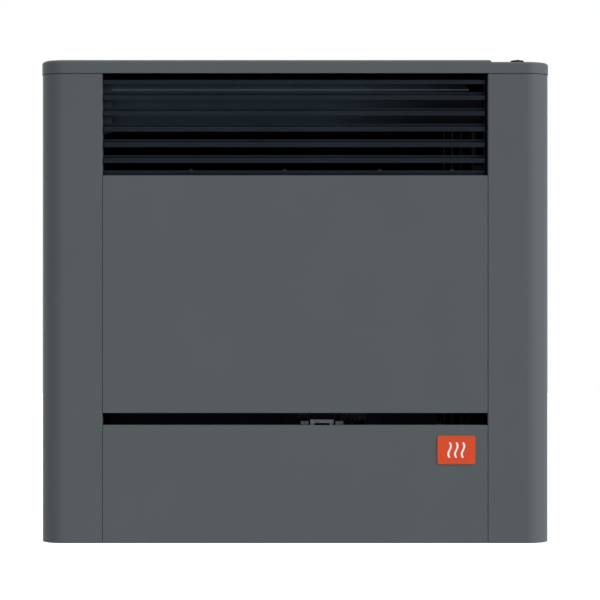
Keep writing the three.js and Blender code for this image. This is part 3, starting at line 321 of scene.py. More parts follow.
def place(piece, material, node, smooth=30):
    # the piece takes its finish, rides with the node's body and stands for the node
    shade(piece, material, smooth)
    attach(piece, bodyOf[node])
    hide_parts(node)
    return piece


def fasten(piece, material, body="chassis"):  # a piece that stands for no node
    shade(piece, material)
    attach(piece, body)


def secondFinish(piece, material, test):  # the faces that the test names take another finish
    piece.data.materials.append(material)
    for face in piece.data.polygons:
        face.material_index = 1 if test(face.center, face.normal) else 0


# Finishes. A fine grain and larger patches blend two tones, and the grain sets the sheen and the relief too.

usualLook = {"stretch": (1, 1, 1), "patchDetail": 4, "grainDetail": 3, "grainShare": 0.35,
             "ramp": (0.35, 0.95), "grainSpread": (0.3, 0.7), "relief": 0.0001}
plainSockets = {"specular": "Specular IOR Level", "metallic": "Metallic", "bending": "IOR",
                "transmission": "Transmission Weight", "specularTint": "Specular Tint"}


def tone(red, green, blue):  # screen colour, 0 to 255, to the renderer's own
    return tuple(((c / 255 + 0.055) / 1.055) ** 2.4 if c > 10 else c / 255 / 12.92
                 for c in (red, green, blue)) + (1,)


def plug(node, inputs):  # a value is set on its socket, and another node's socket is linked to it
    for socket, value in inputs.items():
        if isinstance(value, bpy.types.NodeSocket):
            node.id_data.links.new(value, node.inputs[socket])
        else:
            node.inputs[socket].default_value = value
    return node


def addNode(tree, kind, inputs, **settings):
    node = tree.nodes.new(kind)
    for setting, value in settings.items():
        setattr(node, setting, value)
    return plug(node, inputs)


def finish(name, slot, **look):
    look = {**usualLook, **look}
    material = bpy.data.materials.new(name)
    material.use_nodes = True
    tree = material.node_tree
    where = addNode(tree, "ShaderNodeTexCoord", {}).outputs["Object"]
    spots = addNode(tree, "ShaderNodeMapping", {"Vector": where, "Scale": look["stretch"]}).outputs["Vector"]

    def noise(scale, detail):
        return addNode(tree, "ShaderNodeTexNoise", {
            "Vector": spots, "Scale": scale, "Detail": detail}).outputs["Fac"]

    grain = noise(look["grain"], look["grainDetail"])
    if "spangle" in look:  # crystals of zinc in place of the soft patches
        cells = addNode(tree, "ShaderNodeTexVoronoi", {"Vector": spots, "Scale": look["spangle"]})
        patches = addNode(tree, "ShaderNodeSeparateColor", {"Color": cells.outputs["Color"]}).outputs["Red"]
    else:
        patches = noise(look["patches"], look["patchDetail"])
    blend = addNode(tree, "ShaderNodeMath", {0: grain, 1: look["grainShare"], 2: patches},
                    operation="MULTIPLY_ADD").outputs["Value"]
    colours = addNode(tree, "ShaderNodeValToRGB", {"Fac": blend})
    low, high = colours.color_ramp.elements
    low.position, high.position = look["ramp"]
    low.color, high.color = tone(*look["dark"]), tone(*look["light"])
    colour = colours.outputs["Color"]
    # painted shade: the colour darkens to another one along a direction
    if "smoked" in look:  # the colour turns to another one along a direction
        smoked = look["smoked"]
        along = addNode(tree, "ShaderNodeVectorMath", {0: where, 1: smoked["along"]}, operation="DOT_PRODUCT")
        share = addNode(tree, "ShaderNodeMapRange", {
            "Value": along.outputs["Value"], "From Min": smoked["from"], "From Max": smoked["to"]},
            interpolation_type="SMOOTHSTEP")
        colour = addNode(tree, "ShaderNodeMix", {
            "Factor": share.outputs["Result"], "A": colour, "B": tone(*smoked["colour"])},
            data_type="RGBA").outputs["Result"]
    (least, most), (glossiest, dullest) = look["grainSpread"], look["rough"]
    rough = addNode(tree, "ShaderNodeMapRange", {
        "Value": blend if "spangle" in look else grain, "From Min": least, "From Max": most,
        "To Min": glossiest, "To Max": dullest})
    bump = addNode(tree, "ShaderNodeBump", {
        "Height": grain, "Strength": look["bump"], "Distance": look["relief"]})
    plug(tree.nodes["Principled BSDF"], {
        **{socket: look[setting] for setting, socket in plainSockets.items() if setting in look},
        "Base Color": colour, "Roughness": rough.outputs["Result"], "Normal": bump.outputs["Normal"]})
    return material


grillePaint = {"patches": 14, "grain": 1200, "bump": 0.1, "relief": 0.00015}
dullZinc = {"patches": 260, "grain": 1100, "ramp": (0.3, 1), "rough": (0.5, 0.66), "bump": 0.2,
            "metallic": 0.8}
moulding = {"patches": 40, "grain": 1300, "bump": 0.2, "relief": 0.00015}
paintedGrey = finish(
    "satin_grey_powder_coat", "casing_paint", dark=(79, 84, 88), light=(82, 87, 91), patches=9, grain=1100,
    grainShare=0.5, ramp=(0.35, 1.1), rough=(0.5, 0.62), bump=0.12, relief=0.00018, specular=0.22)
grilleBlack = finish(
    "satin_black_grille_paint", "grille_paint", dark=(11, 18, 24), light=(18, 27, 34), rough=(0.4, 0.52),
    specular=0.12, **grillePaint)
# The deflector's tones are lighter than the grille's, painted light, and its colour darkens towards the right
# and the bottom, painted shade.
deflectorLightAndShade = finish(
    "deflector_paint_with_painted_light_and_shade", "grille_paint", dark=(46, 58, 67), light=(55, 68, 78), rough=(0.42, 0.56),
    specular=0.05, smoked={"along": (5, 0, -7.5), "from": -1.825, "to": -0.805, "colour": (1, 4, 10)},
    **grillePaint)
# The bead's tones are lighter than the deflector's, a painted highlight; its gloss is real.
beadHighlightPaint = finish(
    "glossy_bead_paint_with_painted_highlight", "grille_paint", dark=(60, 69, 78), light=(72, 81, 90), patches=14, grain=1200,
    rough=(0.16, 0.26), bump=0.05, specular=0.5)
# The end plate's tones are lighter than the grille's, painted light over its own shade.
endPlateLitPaint = finish(
    "end_plate_paint_with_painted_light", "grille_paint", dark=(20, 29, 35), light=(27, 38, 45), rough=(0.4, 0.52),
    specular=0.16, **grillePaint)
# A near-black paint for the rail, keeper and back plate, and painted shade inside the top cover and on the
# right end plate beside the slat ends.
innerBlackAndShade = finish(
    "matt_black_inner_paint_and_painted_shade", "dark_paint", dark=(5, 7, 14), light=(9, 12, 21), patches=12, grain=900,
    rough=(0.6, 0.8), bump=0.12, relief=0.0002, specular=0.06)
rearPrimer = finish(
    "black_primer_rear_sheet", "dark_paint", dark=(25, 26, 28), light=(40, 41, 44), patches=6, grain=700,
    rough=(0.3, 0.46), bump=0.15, relief=0.0002, specular=0.5)
zincPlate = finish(
    "passivated_zinc_plate", "zinc_plate", dark=(150, 152, 150), light=(186, 188, 186), grain=700,
    spangle=260, grainShare=0.3, ramp=(0.1, 1.2), rough=(0.3, 0.48), bump=0.08, metallic=1)
# The latch's zinc is dull and darkened well below the plain zinc, painted shade of the finger gap it sits in.
latchPlateZinc = finish(
    "dull_zinc_latch_plate_with_painted_shade", "zinc_plate", dark=(22, 24, 28), light=(72, 75, 80), **dullZinc)
latchZinc = finish(
    "dull_zinc_latch_slider_with_painted_shade", "zinc_plate", dark=(32, 34, 37), light=(98, 101, 106), **dullZinc)
chamberEnamel = finish(
    "matt_stove_enamel", "stove_enamel", dark=(11, 14, 24), light=(18, 22, 34), patches=8, grain=420,
    rough=(0.5, 0.72), bump=0.2, relief=0.0003, specular=0.08)
castAlloy = finish(
    "sand_cast_alloy", "die_cast", dark=(140, 142, 143), light=(176, 178, 179), patches=22, grain=480,
    rough=(0.42, 0.6), bump=0.35, relief=0.0003, metallic=1)
turnedBrass = finish(
    "turned_brass", "brass_fitting", dark=(168, 134, 70), light=(206, 172, 104), patches=18, grain=600,
    stretch=(1, 1, 3), rough=(0.22, 0.38), bump=0.08, metallic=1)
# The copper is darkened almost to black, painted shade of the heater's dark inside.
drawnCopper = finish(
    "copper_darkened_as_painted_shade", "copper_pipe", dark=(19, 15, 15), light=(48, 34, 29), patches=24, grain=380,
    ramp=(0.4, 1.2), rough=(0.45, 0.62), bump=0.12, metallic=0.75)
brightSteel = finish(
    "rolled_stainless", "stainless", dark=(168, 168, 166), light=(200, 200, 198), patches=12, grain=520,
    stretch=(8, 1, 1), rough=(0.2, 0.34), bump=0.06, metallic=1)
heatedSteel = finish(
    "heat_dulled_stainless", "stainless", dark=(44, 42, 43), light=(92, 84, 76), patches=34, grain=520,
    stretch=(3, 1, 1), rough=(0.36, 0.52), bump=0.1, metallic=0.85)
knobBlack = finish(
    "matt_black_knob_moulding", "knob_plastic", dark=(12, 13, 14), light=(20, 21, 23), rough=(0.6, 0.78),
    specular=0.08, **moulding)
glossBlack = finish(
    "gloss_black_moulding", "knob_plastic", dark=(14, 14, 15), light=(22, 22, 24), patches=40, grain=1500,
    rough=(0.12, 0.22), bump=0.03, specular=0.5)
satinBlack = finish(
    "satin_black_moulding", "knob_plastic", dark=(14, 15, 16), light=(24, 25, 27), rough=(0.44, 0.6),
    specular=0.25, **moulding)
gasketFibre = finish(
    "braided_glass_fibre", "fibre_gasket", dark=(150, 144, 132), light=(214, 208, 194), patches=160,
    grain=900, rough=(0.85, 0.98), bump=0.8, relief=0.0006)
firedCeramic = finish(
    "fired_ceramic", "ceramic_rod", dark=(214, 208, 194), light=(238, 233, 222), patches=90, grain=800,
    rough=(0.25, 0.4), bump=0.06)
leadSleeve = finish(
    "silicone_sleeve", "lead_sleeve", dark=(12, 12, 13), light=(24, 24, 24), patches=60, grain=900,
    rough=(0.5, 0.62), bump=0.15, specular=0.15)
badgeOrange = finish(
    "orange_badge_enamel", "badge_enamel", dark=(206, 59, 8), light=(215, 69, 13), patches=30, grain=1400,
    rough=(0.24, 0.34), bump=0.04, specular=0.4)
badgeWhite = finish(
    "white_badge_enamel", "badge_enamel", dark=(240, 228, 222), light=(252, 246, 242), patches=40, grain=1400,
    rough=(0.26, 0.36), bump=0.04)
markPaint = finish(
    "pale_grey_marking_ink", "knob_plastic", dark=(176, 178, 178), light=(206, 208, 208), patches=40,
    grain=1400, rough=(0.4, 0.5), bump=0.05)
sightGlass = finish(
    "heat_resistant_glass", "sight_glass", dark=(44, 46, 48), light=(60, 62, 64), patches=14, grain=300,
    rough=(0.2, 0.3), bump=0.02, transmission=1, bending=1.5, specular=0.04,
    specularTint=(0.12, 0.12, 0.13, 1))
report("finishes made")


# Camera, lights and surroundings.

cameraSet = {"lens": 127.9, "place": (0.0062, -2.930, 0.0019), "reach": 60}
bpy.ops.object.camera_add(location=cameraSet["place"], rotation=(math.pi / 2, 0, 0))
camera = bpy.context.active_object
camera.data.lens = cameraSet["lens"]
camera.data.clip_end = cameraSet["reach"]
bpy.context.scene.camera = camera
bpy.context.scene.view_settings.view_transform = "Standard"

softLights = {  # where each stands as seen from the heater, its strength and how wide it looks in degrees
    "key_light": ((2.6, -1.67, 1.5), 2.9, 50),
    "fill_light": ((-2.4, -1.97, 0.6), 0.12, 60),
    "top_light": ((0.2, -0.3, 3.0), 1.0, 60),
    "back_light": ((-0.8, 3.0, 1.2), 1.05, 60),
    "left_light": ((-3.0, 0.8, 0.3), 0.45, 60),
}
for name, (spot, strength, width) in softLights.items():
    bpy.ops.object.light_add(type="SUN", location=spot)
    lamp = bpy.context.active_object
    lamp.name = name
    lamp.data.energy = strength
    lamp.data.angle = math.radians(width)
    away = math.hypot(spot[0], spot[1])
    lamp.rotation_euler = (math.atan2(away, spot[2]), 0, math.atan2(spot[1], spot[0]) + math.pi / 2)


def showWhen(tree, unseen, seen, output):  # one shader for light on things, another for what the eye meets
    rays = addNode(tree, "ShaderNodeLightPath", {}).outputs
    value = rays["Is Camera Ray"]
    for other in ("Is Glossy Ray", "Is Transmission Ray"):
        larger = addNode(tree, "ShaderNodeMath", {0: value, 1: rays[other]}, operation="MAXIMUM")
        value = larger.outputs["Value"]
    either = addNode(tree, "ShaderNodeMixShader", {"Fac": value, 1: unseen, 2: seen})
    plug(tree.nodes[output], {"Surface": either.outputs["Shader"]})


surroundings = {"light": 0.24, "seen": 1.0, "colour": (1, 1, 1, 1)}
world = bpy.data.worlds.new("studio")
bpy.context.scene.world = world
world.use_nodes = True
sky = world.node_tree
glow = plug(sky.nodes["Background"], {"Color": surroundings["colour"], "Strength": surroundings["light"]})
backdrop = addNode(sky, "ShaderNodeBackground", {
    "Color": surroundings["colour"], "Strength": surroundings["seen"]})
showWhen(sky, glow.outputs["Background"], backdrop.outputs["Background"], "World Output")

floorSet = {"level": -1.0, "size": 40, "colour": (0.5, 0.5, 0.5, 1), "rough": 0.9, "lift": 0.8}
deselect()
bpy.ops.mesh.primitive_plane_add(size=floorSet["size"], location=(0, 0, floorSet["level"]))
floor = newest("studio_floor")
floorPaint = bpy.data.materials.new("pale_floor")
floorPaint.use_nodes = True
ground = floorPaint.node_tree
matt = plug(ground.nodes["Principled BSDF"], {
    "Base Color": floorSet["colour"], "Roughness": floorSet["rough"],
    "Specular IOR Level": 0}).outputs["BSDF"]
glowing = addNode(ground, "ShaderNodeEmission", {"Strength": floorSet["lift"]})
lifted = addNode(ground, "ShaderNodeAddShader", {0: matt, 1: glowing.outputs["Emission"]})
showWhen(ground, matt, lifted.outputs["Shader"], "Material Output")
floor.data.materials.append(floorPaint)
report("camera, lights and floor set")


# Side panels: sheet folded round a large front corner.

sheetMetal = {"sheet": 0.001, "fold": 0.0006, "foldSteps": 4, "cutEdge": 0.00015, "cutAngle": 60,
              "return": 0.014}


def crisp(piece):  # only the cut edges of a sheet are softened
    return soften(piece, sheetMetal["cutEdge"], 1, sheetMetal["cutAngle"])


sidePanel = {"corner": 0.030, "cornerSteps": 30, "rearFlange": 0.014}
for side, node in ((1, "right_side_panel"), (-1, "left_side_panel")):
    low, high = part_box(node)
    inner, outer = sorted((abs(low.x), abs(high.x)))
    returnEnd = low.y + sheetMetal["return"]
    flangeStart = outer - sidePanel["rearFlange"]
    piece = addBlock(node + "_sheet", low, high)
    removeFaces(piece, lambda c, n: abs(n.z) > squarely)
    sliceAt(piece, 1, returnEnd, lambda c, n: -side * n.x > squarely)
    sliceAt(piece, 0, side * flangeStart, lambda c, n: n.y > squarely)
    removeFaces(piece, lambda c, n: (-side * n.x > squarely and c.y > returnEnd)
                or (n.y > squarely and abs(c.x) < flangeStart))

    def upright(x, y, *points):
        return all(near(abs(p.x), x) and near(p.y, y) for p in points)

    roundEdges(piece, lambda a, b: upright(outer, low.y, a, b), sidePanel["corner"], sidePanel["cornerSteps"])
    roundEdges(piece, lambda a, b: upright(inner, low.y, a, b) or upright(outer, high.y, a, b),
               sheetMetal["fold"], sheetMetal["foldSteps"])
    place(crisp(thicken(piece, sheetMetal["sheet"])), paintedGrey, node)
report("side panels folded")


# Top cover: a skirt, a raised field and a lower control end, its inside painted near-black as painted shade.

coverSet = {"corner": 0.0307, "cornerSteps": 30, "rim": 0.003, "fieldRim": 0.004, "rimSteps": 8,
            "fieldStep": 0.0025, "fieldRight": 0.249, "below": 0.004, "wall": 0.001, "fieldWall": 0.004,
            "bezelHole": 0.024, "bezelHoleSides": 64, "igniterHole": 0.0083, "igniterHoleSides": 48,
            "holeLength": 0.02, "rimBand": 0.0005, "ceiling": -0.5, "wallSlope": 0.3}
coverLow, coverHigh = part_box("top_cover")
controlTop = coverHigh.z - coverSet["fieldStep"]


def coverSlab(name, right, bottom, top, rim, inset):
    slab = addBlock(name, (coverLow.x + inset, coverLow.y + inset, bottom), (right, coverHigh.y - inset, top))
    roundEdges(slab, lambda a, b: near(a.x, b.x) and all(
        near(p.y, coverLow.y + inset) and near(abs(p.x), coverHigh.x - inset) for p in (a, b)),
        coverSet["corner"] - inset, coverSet["cornerSteps"])
    if rim:
        roundEdges(slab, lambda a, b: all(near(p.z, top) for p in (a, b)), rim, coverSet["rimSteps"])
    return slab


def controlHole(node, radius, sides):
    return addRod(node + "_hole", "z", (*middleOf(*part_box(node)), controlTop), radius, coverSet["holeLength"],
                  sides)


def coverInsideForPaintedShade(spot, way):  # a hollow's wall or ceiling, by its place and the way that it looks
    if way.z < coverSet["ceiling"]:
        return spot.z > coverLow.z + coverSet["rimBand"]
    inward = -(way.x * spot.x + way.y * (spot.y - (coverLow.y + coverHigh.y) / 2))
    return abs(way.z) < coverSet["wallSlope"] and inward > 0 and spot.z > coverLow.z


under = coverLow.z - coverSet["below"]
wall, fieldWall = coverSet["wall"], coverSet["fieldWall"]
cover = coverSlab("top_cover_sheet", coverHigh.x, coverLow.z, controlTop, coverSet["rim"], 0)
weld(cover, coverSlab("field", coverSet["fieldRight"], coverLow.z, coverHigh.z, coverSet["fieldRim"], 0))
cutAway(cover,
        coverSlab("hollow", coverHigh.x - wall, under, controlTop - wall, 0, wall),
        coverSlab("field_hollow", coverSet["fieldRight"] - fieldWall, under, coverHigh.z - wall, 0,
                  fieldWall),
        controlHole("knob_bezel", coverSet["bezelHole"], coverSet["bezelHoleSides"]),
        controlHole("piezo_igniter", coverSet["igniterHole"], coverSet["igniterHoleSides"]))
# The faces inside the cover take the near-black finish, painted shade.
secondFinish(place(cover, paintedGrey, "top_cover"), innerBlackAndShade, coverInsideForPaintedShade)
report("top cover pressed")


# Front panel and lower door: trays of sheet.

def pan(name, low, high):
    piece = addBlock(name, low, high)
    removeFaces(piece, lambda c, n: n.y > squarely)
    roundEdges(piece, lambda a, b: near(a.y, low[1]) or near(b.y, low[1]),
               sheetMetal["fold"], sheetMetal["foldSteps"])
    return crisp(thicken(piece, sheetMetal["sheet"]))


place(pan("front_panel_sheet", *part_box("front_panel")), paintedGrey, "front_panel")

doorSet = {"latchCut": (0.0055, 0.0625), "notch": 0.012, "notchFromEnd": 0.0013, "front": 0.0014,
           "deep": 0.003, "over": 0.002, "pinHole": 0.0029, "pinHoleLength": 0.006, "pin": (-0.222, -0.29825)}
low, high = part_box("lower_door")
door = pan("lower_door_sheet", low, high)
over, deep = doorSet["over"], doorSet["deep"]


def flangeCut(name, left, right, bottom, top):  # leaves the door's face whole
    return addBlock(name, (left, low.y + doorSet["front"], bottom), (right, high.y + over, top))


cutters = [flangeCut("latch_cut", *doorSet["latchCut"], high.z - deep, high.z + over)]
for side in (-1, 1):
    ends = sorted((side * (high.x - doorSet["notchFromEnd"]), side * (high.x - doorSet["notch"])))
    cutters.append(flangeCut("hinge_notch", *ends, low.z - over, low.z + deep))
    cutters.append(addRod("pin_hole", "x", (side * high.x, *doorSet["pin"]), doorSet["pinHole"],
                          doorSet["pinHoleLength"]))
place(cutAway(door, *cutters), paintedGrey, "lower_door")
report("front panel and lower door folded")


# Louvred outlet.

slatSet = {"count": 6, "lip": 0.0056, "flange": 0.0026, "fold": 0.0010, "foldSteps": 4, "sheet": 0.001,
           "railEdge": 0.0003, "railEdgeSteps": 3}
for number in range(1, slatSet["count"] + 1):
    node = f"louvre_slat_{number}"
    low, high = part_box(node)
    if number == 1:  # its web is level
        path = [(low.y, low.z), (low.y, high.z), (high.y, high.z)]
    else:
        rear = high.y - slatSet["sheet"]
        path = [(low.y, low.z), (low.y, low.z + slatSet["lip"]), (rear, high.z - slatSet["flange"]),
                (rear, high.z)]
    blade = strip(node + "_blade", low.x, high.x, path,
                  slatSet["sheet"], slatSet["fold"], slatSet["foldSteps"])
    place(crisp(blade), grilleBlack, node)

place(refined("grille_bottom_rail", slatSet["railEdge"], slatSet["railEdgeSteps"]), grilleBlack,
      "grille_bottom_rail")

deflector = {"flange": 0.010, "bead": 0.0016, "beadSides": 24, "lean": 0.016, "fold": 0.0006, "foldSteps": 3,
             "notch": 0.2212, "notchDrop": 0.015, "notchUpright": 0.0046, "cutEnd": 0.33, "cutFront": 0.005,
             "cutBack": 0.03, "cutAbove": 0.004, "overlap": 0.001}
low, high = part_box("air_deflector")
beadZ = high.z - deflector["flange"] - deflector["bead"]
notchLow = high.z - deflector["notchDrop"]
notchBend, notchTop = notchLow + deflector["notchUpright"], high.z + deflector["cutAbove"]


def notchBlock(bottom, top):
    return addBlock("notch", (deflector["notch"], low.y - deflector["cutFront"], bottom),
                    (deflector["cutEnd"], low.y + deflector["cutBack"], top))


def deflectorNotch():  # upright edge below, running out at 45 degrees above
    lower = notchBlock(notchLow, notchBend + deflector["overlap"])
    upper = notchBlock(notchBend, notchTop)
    pick(upper, "VERT", lambda p: near(p.x, deflector["notch"]) and near(p.z, notchTop))
    bpy.ops.transform.translate(value=(notchBend - notchTop, 0, 0))
    leave()
    return lower, upper


piece = strip("deflector_sheet", low.x, high.x, [
    (low.y + deflector["lean"], low.z), (low.y, beadZ), (low.y, high.z)],
    slatSet["sheet"], deflector["fold"], deflector["foldSteps"])
place(crisp(cutAway(piece, *deflectorNotch())), deflectorLightAndShade, "air_deflector")
# The bead takes the lighter bead paint, a painted highlight along the deflector.
bead = addRod("deflector_bead", "x", (0, low.y + deflector["bead"], beadZ), deflector["bead"], high.x - low.x,
              deflector["beadSides"])
fasten(cutAway(bead, *deflectorNotch()), beadHighlightPaint)

endPlates = {"inner": 0.2441, "outerOver": 0.001, "over": 0.002, "tab": 0.0012, "edge": 0.0002}
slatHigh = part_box("louvre_slat_1")[1]
tabEnd = slatHigh.x - endPlates["tab"]
# The left plate takes the lighter end plate paint, painted light; the right plate is near-black beside the slat
# ends, painted shade.
for node, material in (("grille_end_left", endPlateLitPaint), ("grille_end_right", innerBlackAndShade)):
    low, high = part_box(node)
    ends = (low.x - endPlates["outerOver"], endPlates["inner"]) if low.x > 0 else (
        -endPlates["inner"], high.x + endPlates["outerOver"])  # what shows beside the slats
    piece = cutAway(refined(node, 0), addBlock(
        "headroom", (ends[0], low.y - endPlates["over"], slatHigh.z),
        (ends[1], high.y + endPlates["over"], high.z + endPlates["over"])))
    if node == "grille_end_right":
        sliceAt(piece, 0, tabEnd)
    place(soften(piece, endPlates["edge"]), material, node)
# The right plate's inner tab takes the deflector's lighter colour, a painted highlight.
secondFinish(piece, deflectorLightAndShade, lambda c, n: c.x < tabEnd)  # the tab on the right plate catches the light
report("louvres made")


# Screws: one head of each kind is modelled and copied.

screwSet = {"radius": 0.0033, "height": 0.0021, "slot": (0.6, 0.13), "slotDeep": 0.0012, "over": 0.001,
            "boltAcross": 0.008, "boltHeight": 0.0045, "steps": 20, "boltSteps": 24,
            "railX": (-0.1329, -0.0137, 0.1069, 0.1990), "railY": -0.2188}
hexCorner = 0.577  # a hexagon's corner radius, as a share of its width across flats


def crossArms(length, width, low, high):  # the two halves of a cross recess, by their half sizes
    return [addBlock("arm", (-a, -b, low), (a, b, high)) for a, b in ((length, width), (width, length))]


def hexPrism(name, axis, centre, across, length, share):
    return soften(addRod(name, axis, centre, across * hexCorner, length, 6), across * share, 2, 30)


def screwHead(name, radius, height):
    head = turned(name, (0, 0, 0), [
        (0, 0), (radius, 0), (radius, height * 0.35), (radius * 0.86, height * 0.78),
        (radius * 0.55, height), (0, height)], steps=screwSet["steps"])
    length, width = screwSet["slot"]
    return cutAway(head, *crossArms(radius * length, radius * width, height - screwSet["slotDeep"],
                                    height + screwSet["over"]))


def boltHead(name, across, height):  # hexagon with a washer face
    bolt = turned(name, (0, 0, 0), [
        (0, 0), (across * 0.62, 0), (across * 0.62, height * 0.16), (across * 0.5, height * 0.2),
        (0, height * 0.2)], steps=screwSet["boltSteps"])
    return joinUp(name, [bolt, hexPrism("hexagon", "z", (0, 0, height * 0.6), across, height * 0.8, 0.04)])


panHead = screwHead("pan_head", screwSet["radius"], screwSet["height"])
hexBolt = boltHead("hex_bolt", screwSet["boltAcross"], screwSet["boltHeight"])
headTurns = {"-y": (math.pi / 2, 0, 0), "+y": (-math.pi / 2, 0, 0), "+z": (0, 0, 0)}
shuffle = random.Random(7)


def screwRow(name, head, facing, spots, material):  # each head has its own turn
    copies = []
    for spot in spots:
        twin = twinOf(head.data, name + "_one")
        twin.rotation_euler = (0, 0, shuffle.uniform(0, math.pi))
        freeze(twin)
        twin.rotation_euler = headTurns[facing]
        twin.location = spot
        copies.append(freeze(twin))
    fasten(joinUp(name, copies), material)


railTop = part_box("grille_bottom_rail")[1].z
screwRow("outlet_rail_screws", panHead, "+z", [(x, screwSet["railY"], railTop) for x in screwSet["railX"]],
         grilleBlack)


# Lower door's latch: a plate with two ears, a slider that a finger presses down, and its spring.

latchSet = {"edge": 0.0003, "turns": 6, "wire": 0.00045, "wireSides": 12, "turnSteps": 24, "travel": 0.0035}
for node, material in (
        ("latch_base", latchPlateZinc), ("latch_slider", latchZinc), ("latch_keeper", innerBlackAndShade)):
    place(refined(node, latchSet["edge"]), material, node)

low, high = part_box("latch_spring")
coilX, coilY = middleOf(low, high)
turns, turnSteps, wire = latchSet["turns"], latchSet["turnSteps"], latchSet["wire"]
coilRadius = (high.y - low.y) / 2 - wire
coilLow, coilHigh = low.z + wire, high.z - wire
coil = tubeAlong("latch_spring_coil", [
    (coilX + coilRadius * math.cos(2 * math.pi * i / turnSteps),
     coilY + coilRadius * math.sin(2 * math.pi * i / turnSteps),
     coilLow + (coilHigh - coilLow) * i / (turns * turnSteps)) for i in range(turns * turnSteps + 1)],
    wire, latchSet["wireSides"])
place(coil, brightSteel, "latch_spring", smooth=60)
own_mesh(coil)
report("latch fitted")


# Badge: an enamelled plate that carries only a heat sign.

badgeSet = {"corner": 0.003, "cornerSteps": 10, "edge": 0.0003, "edgeSteps": 3, "waves": 3, "pitch": 0.0085,
            "height": 0.020, "stroke": 0.0025, "swing": 0.0016, "tip": 0.06, "cells": (4, 32),
            "proud": 0.00012}
low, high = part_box("badge_plate")
badge = addBlock("badge_enamel", low, high)
roundEdges(badge, lambda a, b: near(a.x, b.x) and near(a.z, b.z), badgeSet["corner"], badgeSet["cornerSteps"])
roundEdges(badge, lambda a, b: near(a.y, low.y) and near(b.y, low.y), badgeSet["edge"], badgeSet["edgeSteps"])
place(badge, badgeOrange, "badge_plate")


def heatWave(centreX, centreZ, front):
    deselect()
    columns, rows = badgeSet["cells"]
    bpy.ops.mesh.primitive_grid_add(x_subdivisions=columns, y_subdivisions=rows, size=1)
    wave = newest("heat_wave")
    for point in wave.data.vertices:
        across, along = point.co.x, point.co.y
        intoTip = max(0.0, abs(along) - 0.5 + badgeSet["tip"]) / badgeSet["tip"]
        ending = math.sqrt(max(0.0, 1 - intoTip ** 2))  # rounded ends
        point.co = (centreX + across * badgeSet["stroke"] * ending + badgeSet["swing"] * math.sin(
            2 * math.pi * along), front, centreZ + along * badgeSet["height"])
    return modify(wave, "SOLIDIFY", thickness=2 * badgeSet["proud"], offset=-1)


middleX, middleZ = (low.x + high.x) / 2, (low.z + high.z) / 2
waves = [heatWave(middleX + (i - (badgeSet["waves"] - 1) / 2) * badgeSet["pitch"], middleZ,
                  low.y - badgeSet["proud"]) for i in range(badgeSet["waves"])]
fasten(joinUp("badge_heat_sign", waves), badgeWhite, "door")
report("badge made")


# Control knob in its cup, with a dial round it.

knobSet = {"skirt": 0.019, "skirtHeight": 0.0034, "slope": 0.004, "grip": 0.0089, "rounding": 0.0018,
           "soft": 0.0004, "rimDrop": 0.0017, "rimTurn": 0.4, "fillet": 0.0013, "dish": (0.0055, -0.00025),
           "socket": 0.0043, "socketDeep": 0.007, "steps": 104, "flutes": 26,
           "fluteRadius": 0.0006, "fluteOut": 0.00025, "fluteShort": 0.0032, "fluteSides": 10,
           "pointer": 0.0016, "pointerEdge": 0.0003, "pointerRise": 0.002,
           "lineHalf": 0.0004, "lineThick": 0.0002, "line": ((0.0006, -0.00145), (0.0039, 0.00002))}
low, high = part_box("control_knob")
knobX, knobY = middleOf(low, high)
skirt, grip, soft, fillet, socket = [knobSet[size] for size in ("skirt", "grip", "soft", "fillet", "socket")]
gripTop, skirtTop = high.z - soft, low.z + knobSet["skirtHeight"]
skirtRim = [(skirt - soft * (1 - math.cos(i * knobSet["rimTurn"])),
             soft * math.sin(i * knobSet["rimTurn"]) - knobSet["rimDrop"]) for i in range(3)]
knob = turned("control_knob_moulding", (knobX, knobY, 0), outline(
    (low.z, [(0, knobSet["socketDeep"]), (socket, knobSet["socketDeep"]), (socket, 0), (skirt, 0)]),
    (skirtTop, [*skirtRim, (skirt - knobSet["slope"], 0), (grip + fillet, 0), (grip + soft, soft),
                (grip, fillet)]),
    (gripTop, [*rounded(grip, 0, knobSet["rounding"], 8), knobSet["dish"], (0, -soft)])),
    steps=knobSet["steps"])


def aroundKnob(radius, turn, level):
    return knobX + radius * math.cos(turn), knobY + radius * math.sin(turn), level


cutAway(knob, joinUp("flutes", [
    addRod("flute", "z", aroundKnob(grip + knobSet["fluteOut"], 2 * math.pi * (i + 0.5) / knobSet["flutes"],
                                    (skirtTop + gripTop) / 2 + soft),
           knobSet["fluteRadius"], gripTop - skirtTop - knobSet["fluteShort"], knobSet["fluteSides"])
    for i in range(knobSet["flutes"])]))
half, edge = knobSet["pointer"] / 2, knobSet["pointerEdge"]
pointer = addBlock("pointer", (knobX - half, knobY - grip + edge, skirtTop + knobSet["pointerRise"]),
                   (knobX + half, knobY - grip / 3, high.z))
place(weld(knob, soften(pointer, edge)), knobBlack, "control_knob")
fasten(strip("knob_pointer_line", knobX - knobSet["lineHalf"], knobX + knobSet["lineHalf"],
             [(knobY - skirt + y, skirtTop + z) for y, z in knobSet["line"]], knobSet["lineThick"]),
       markPaint, "knob")

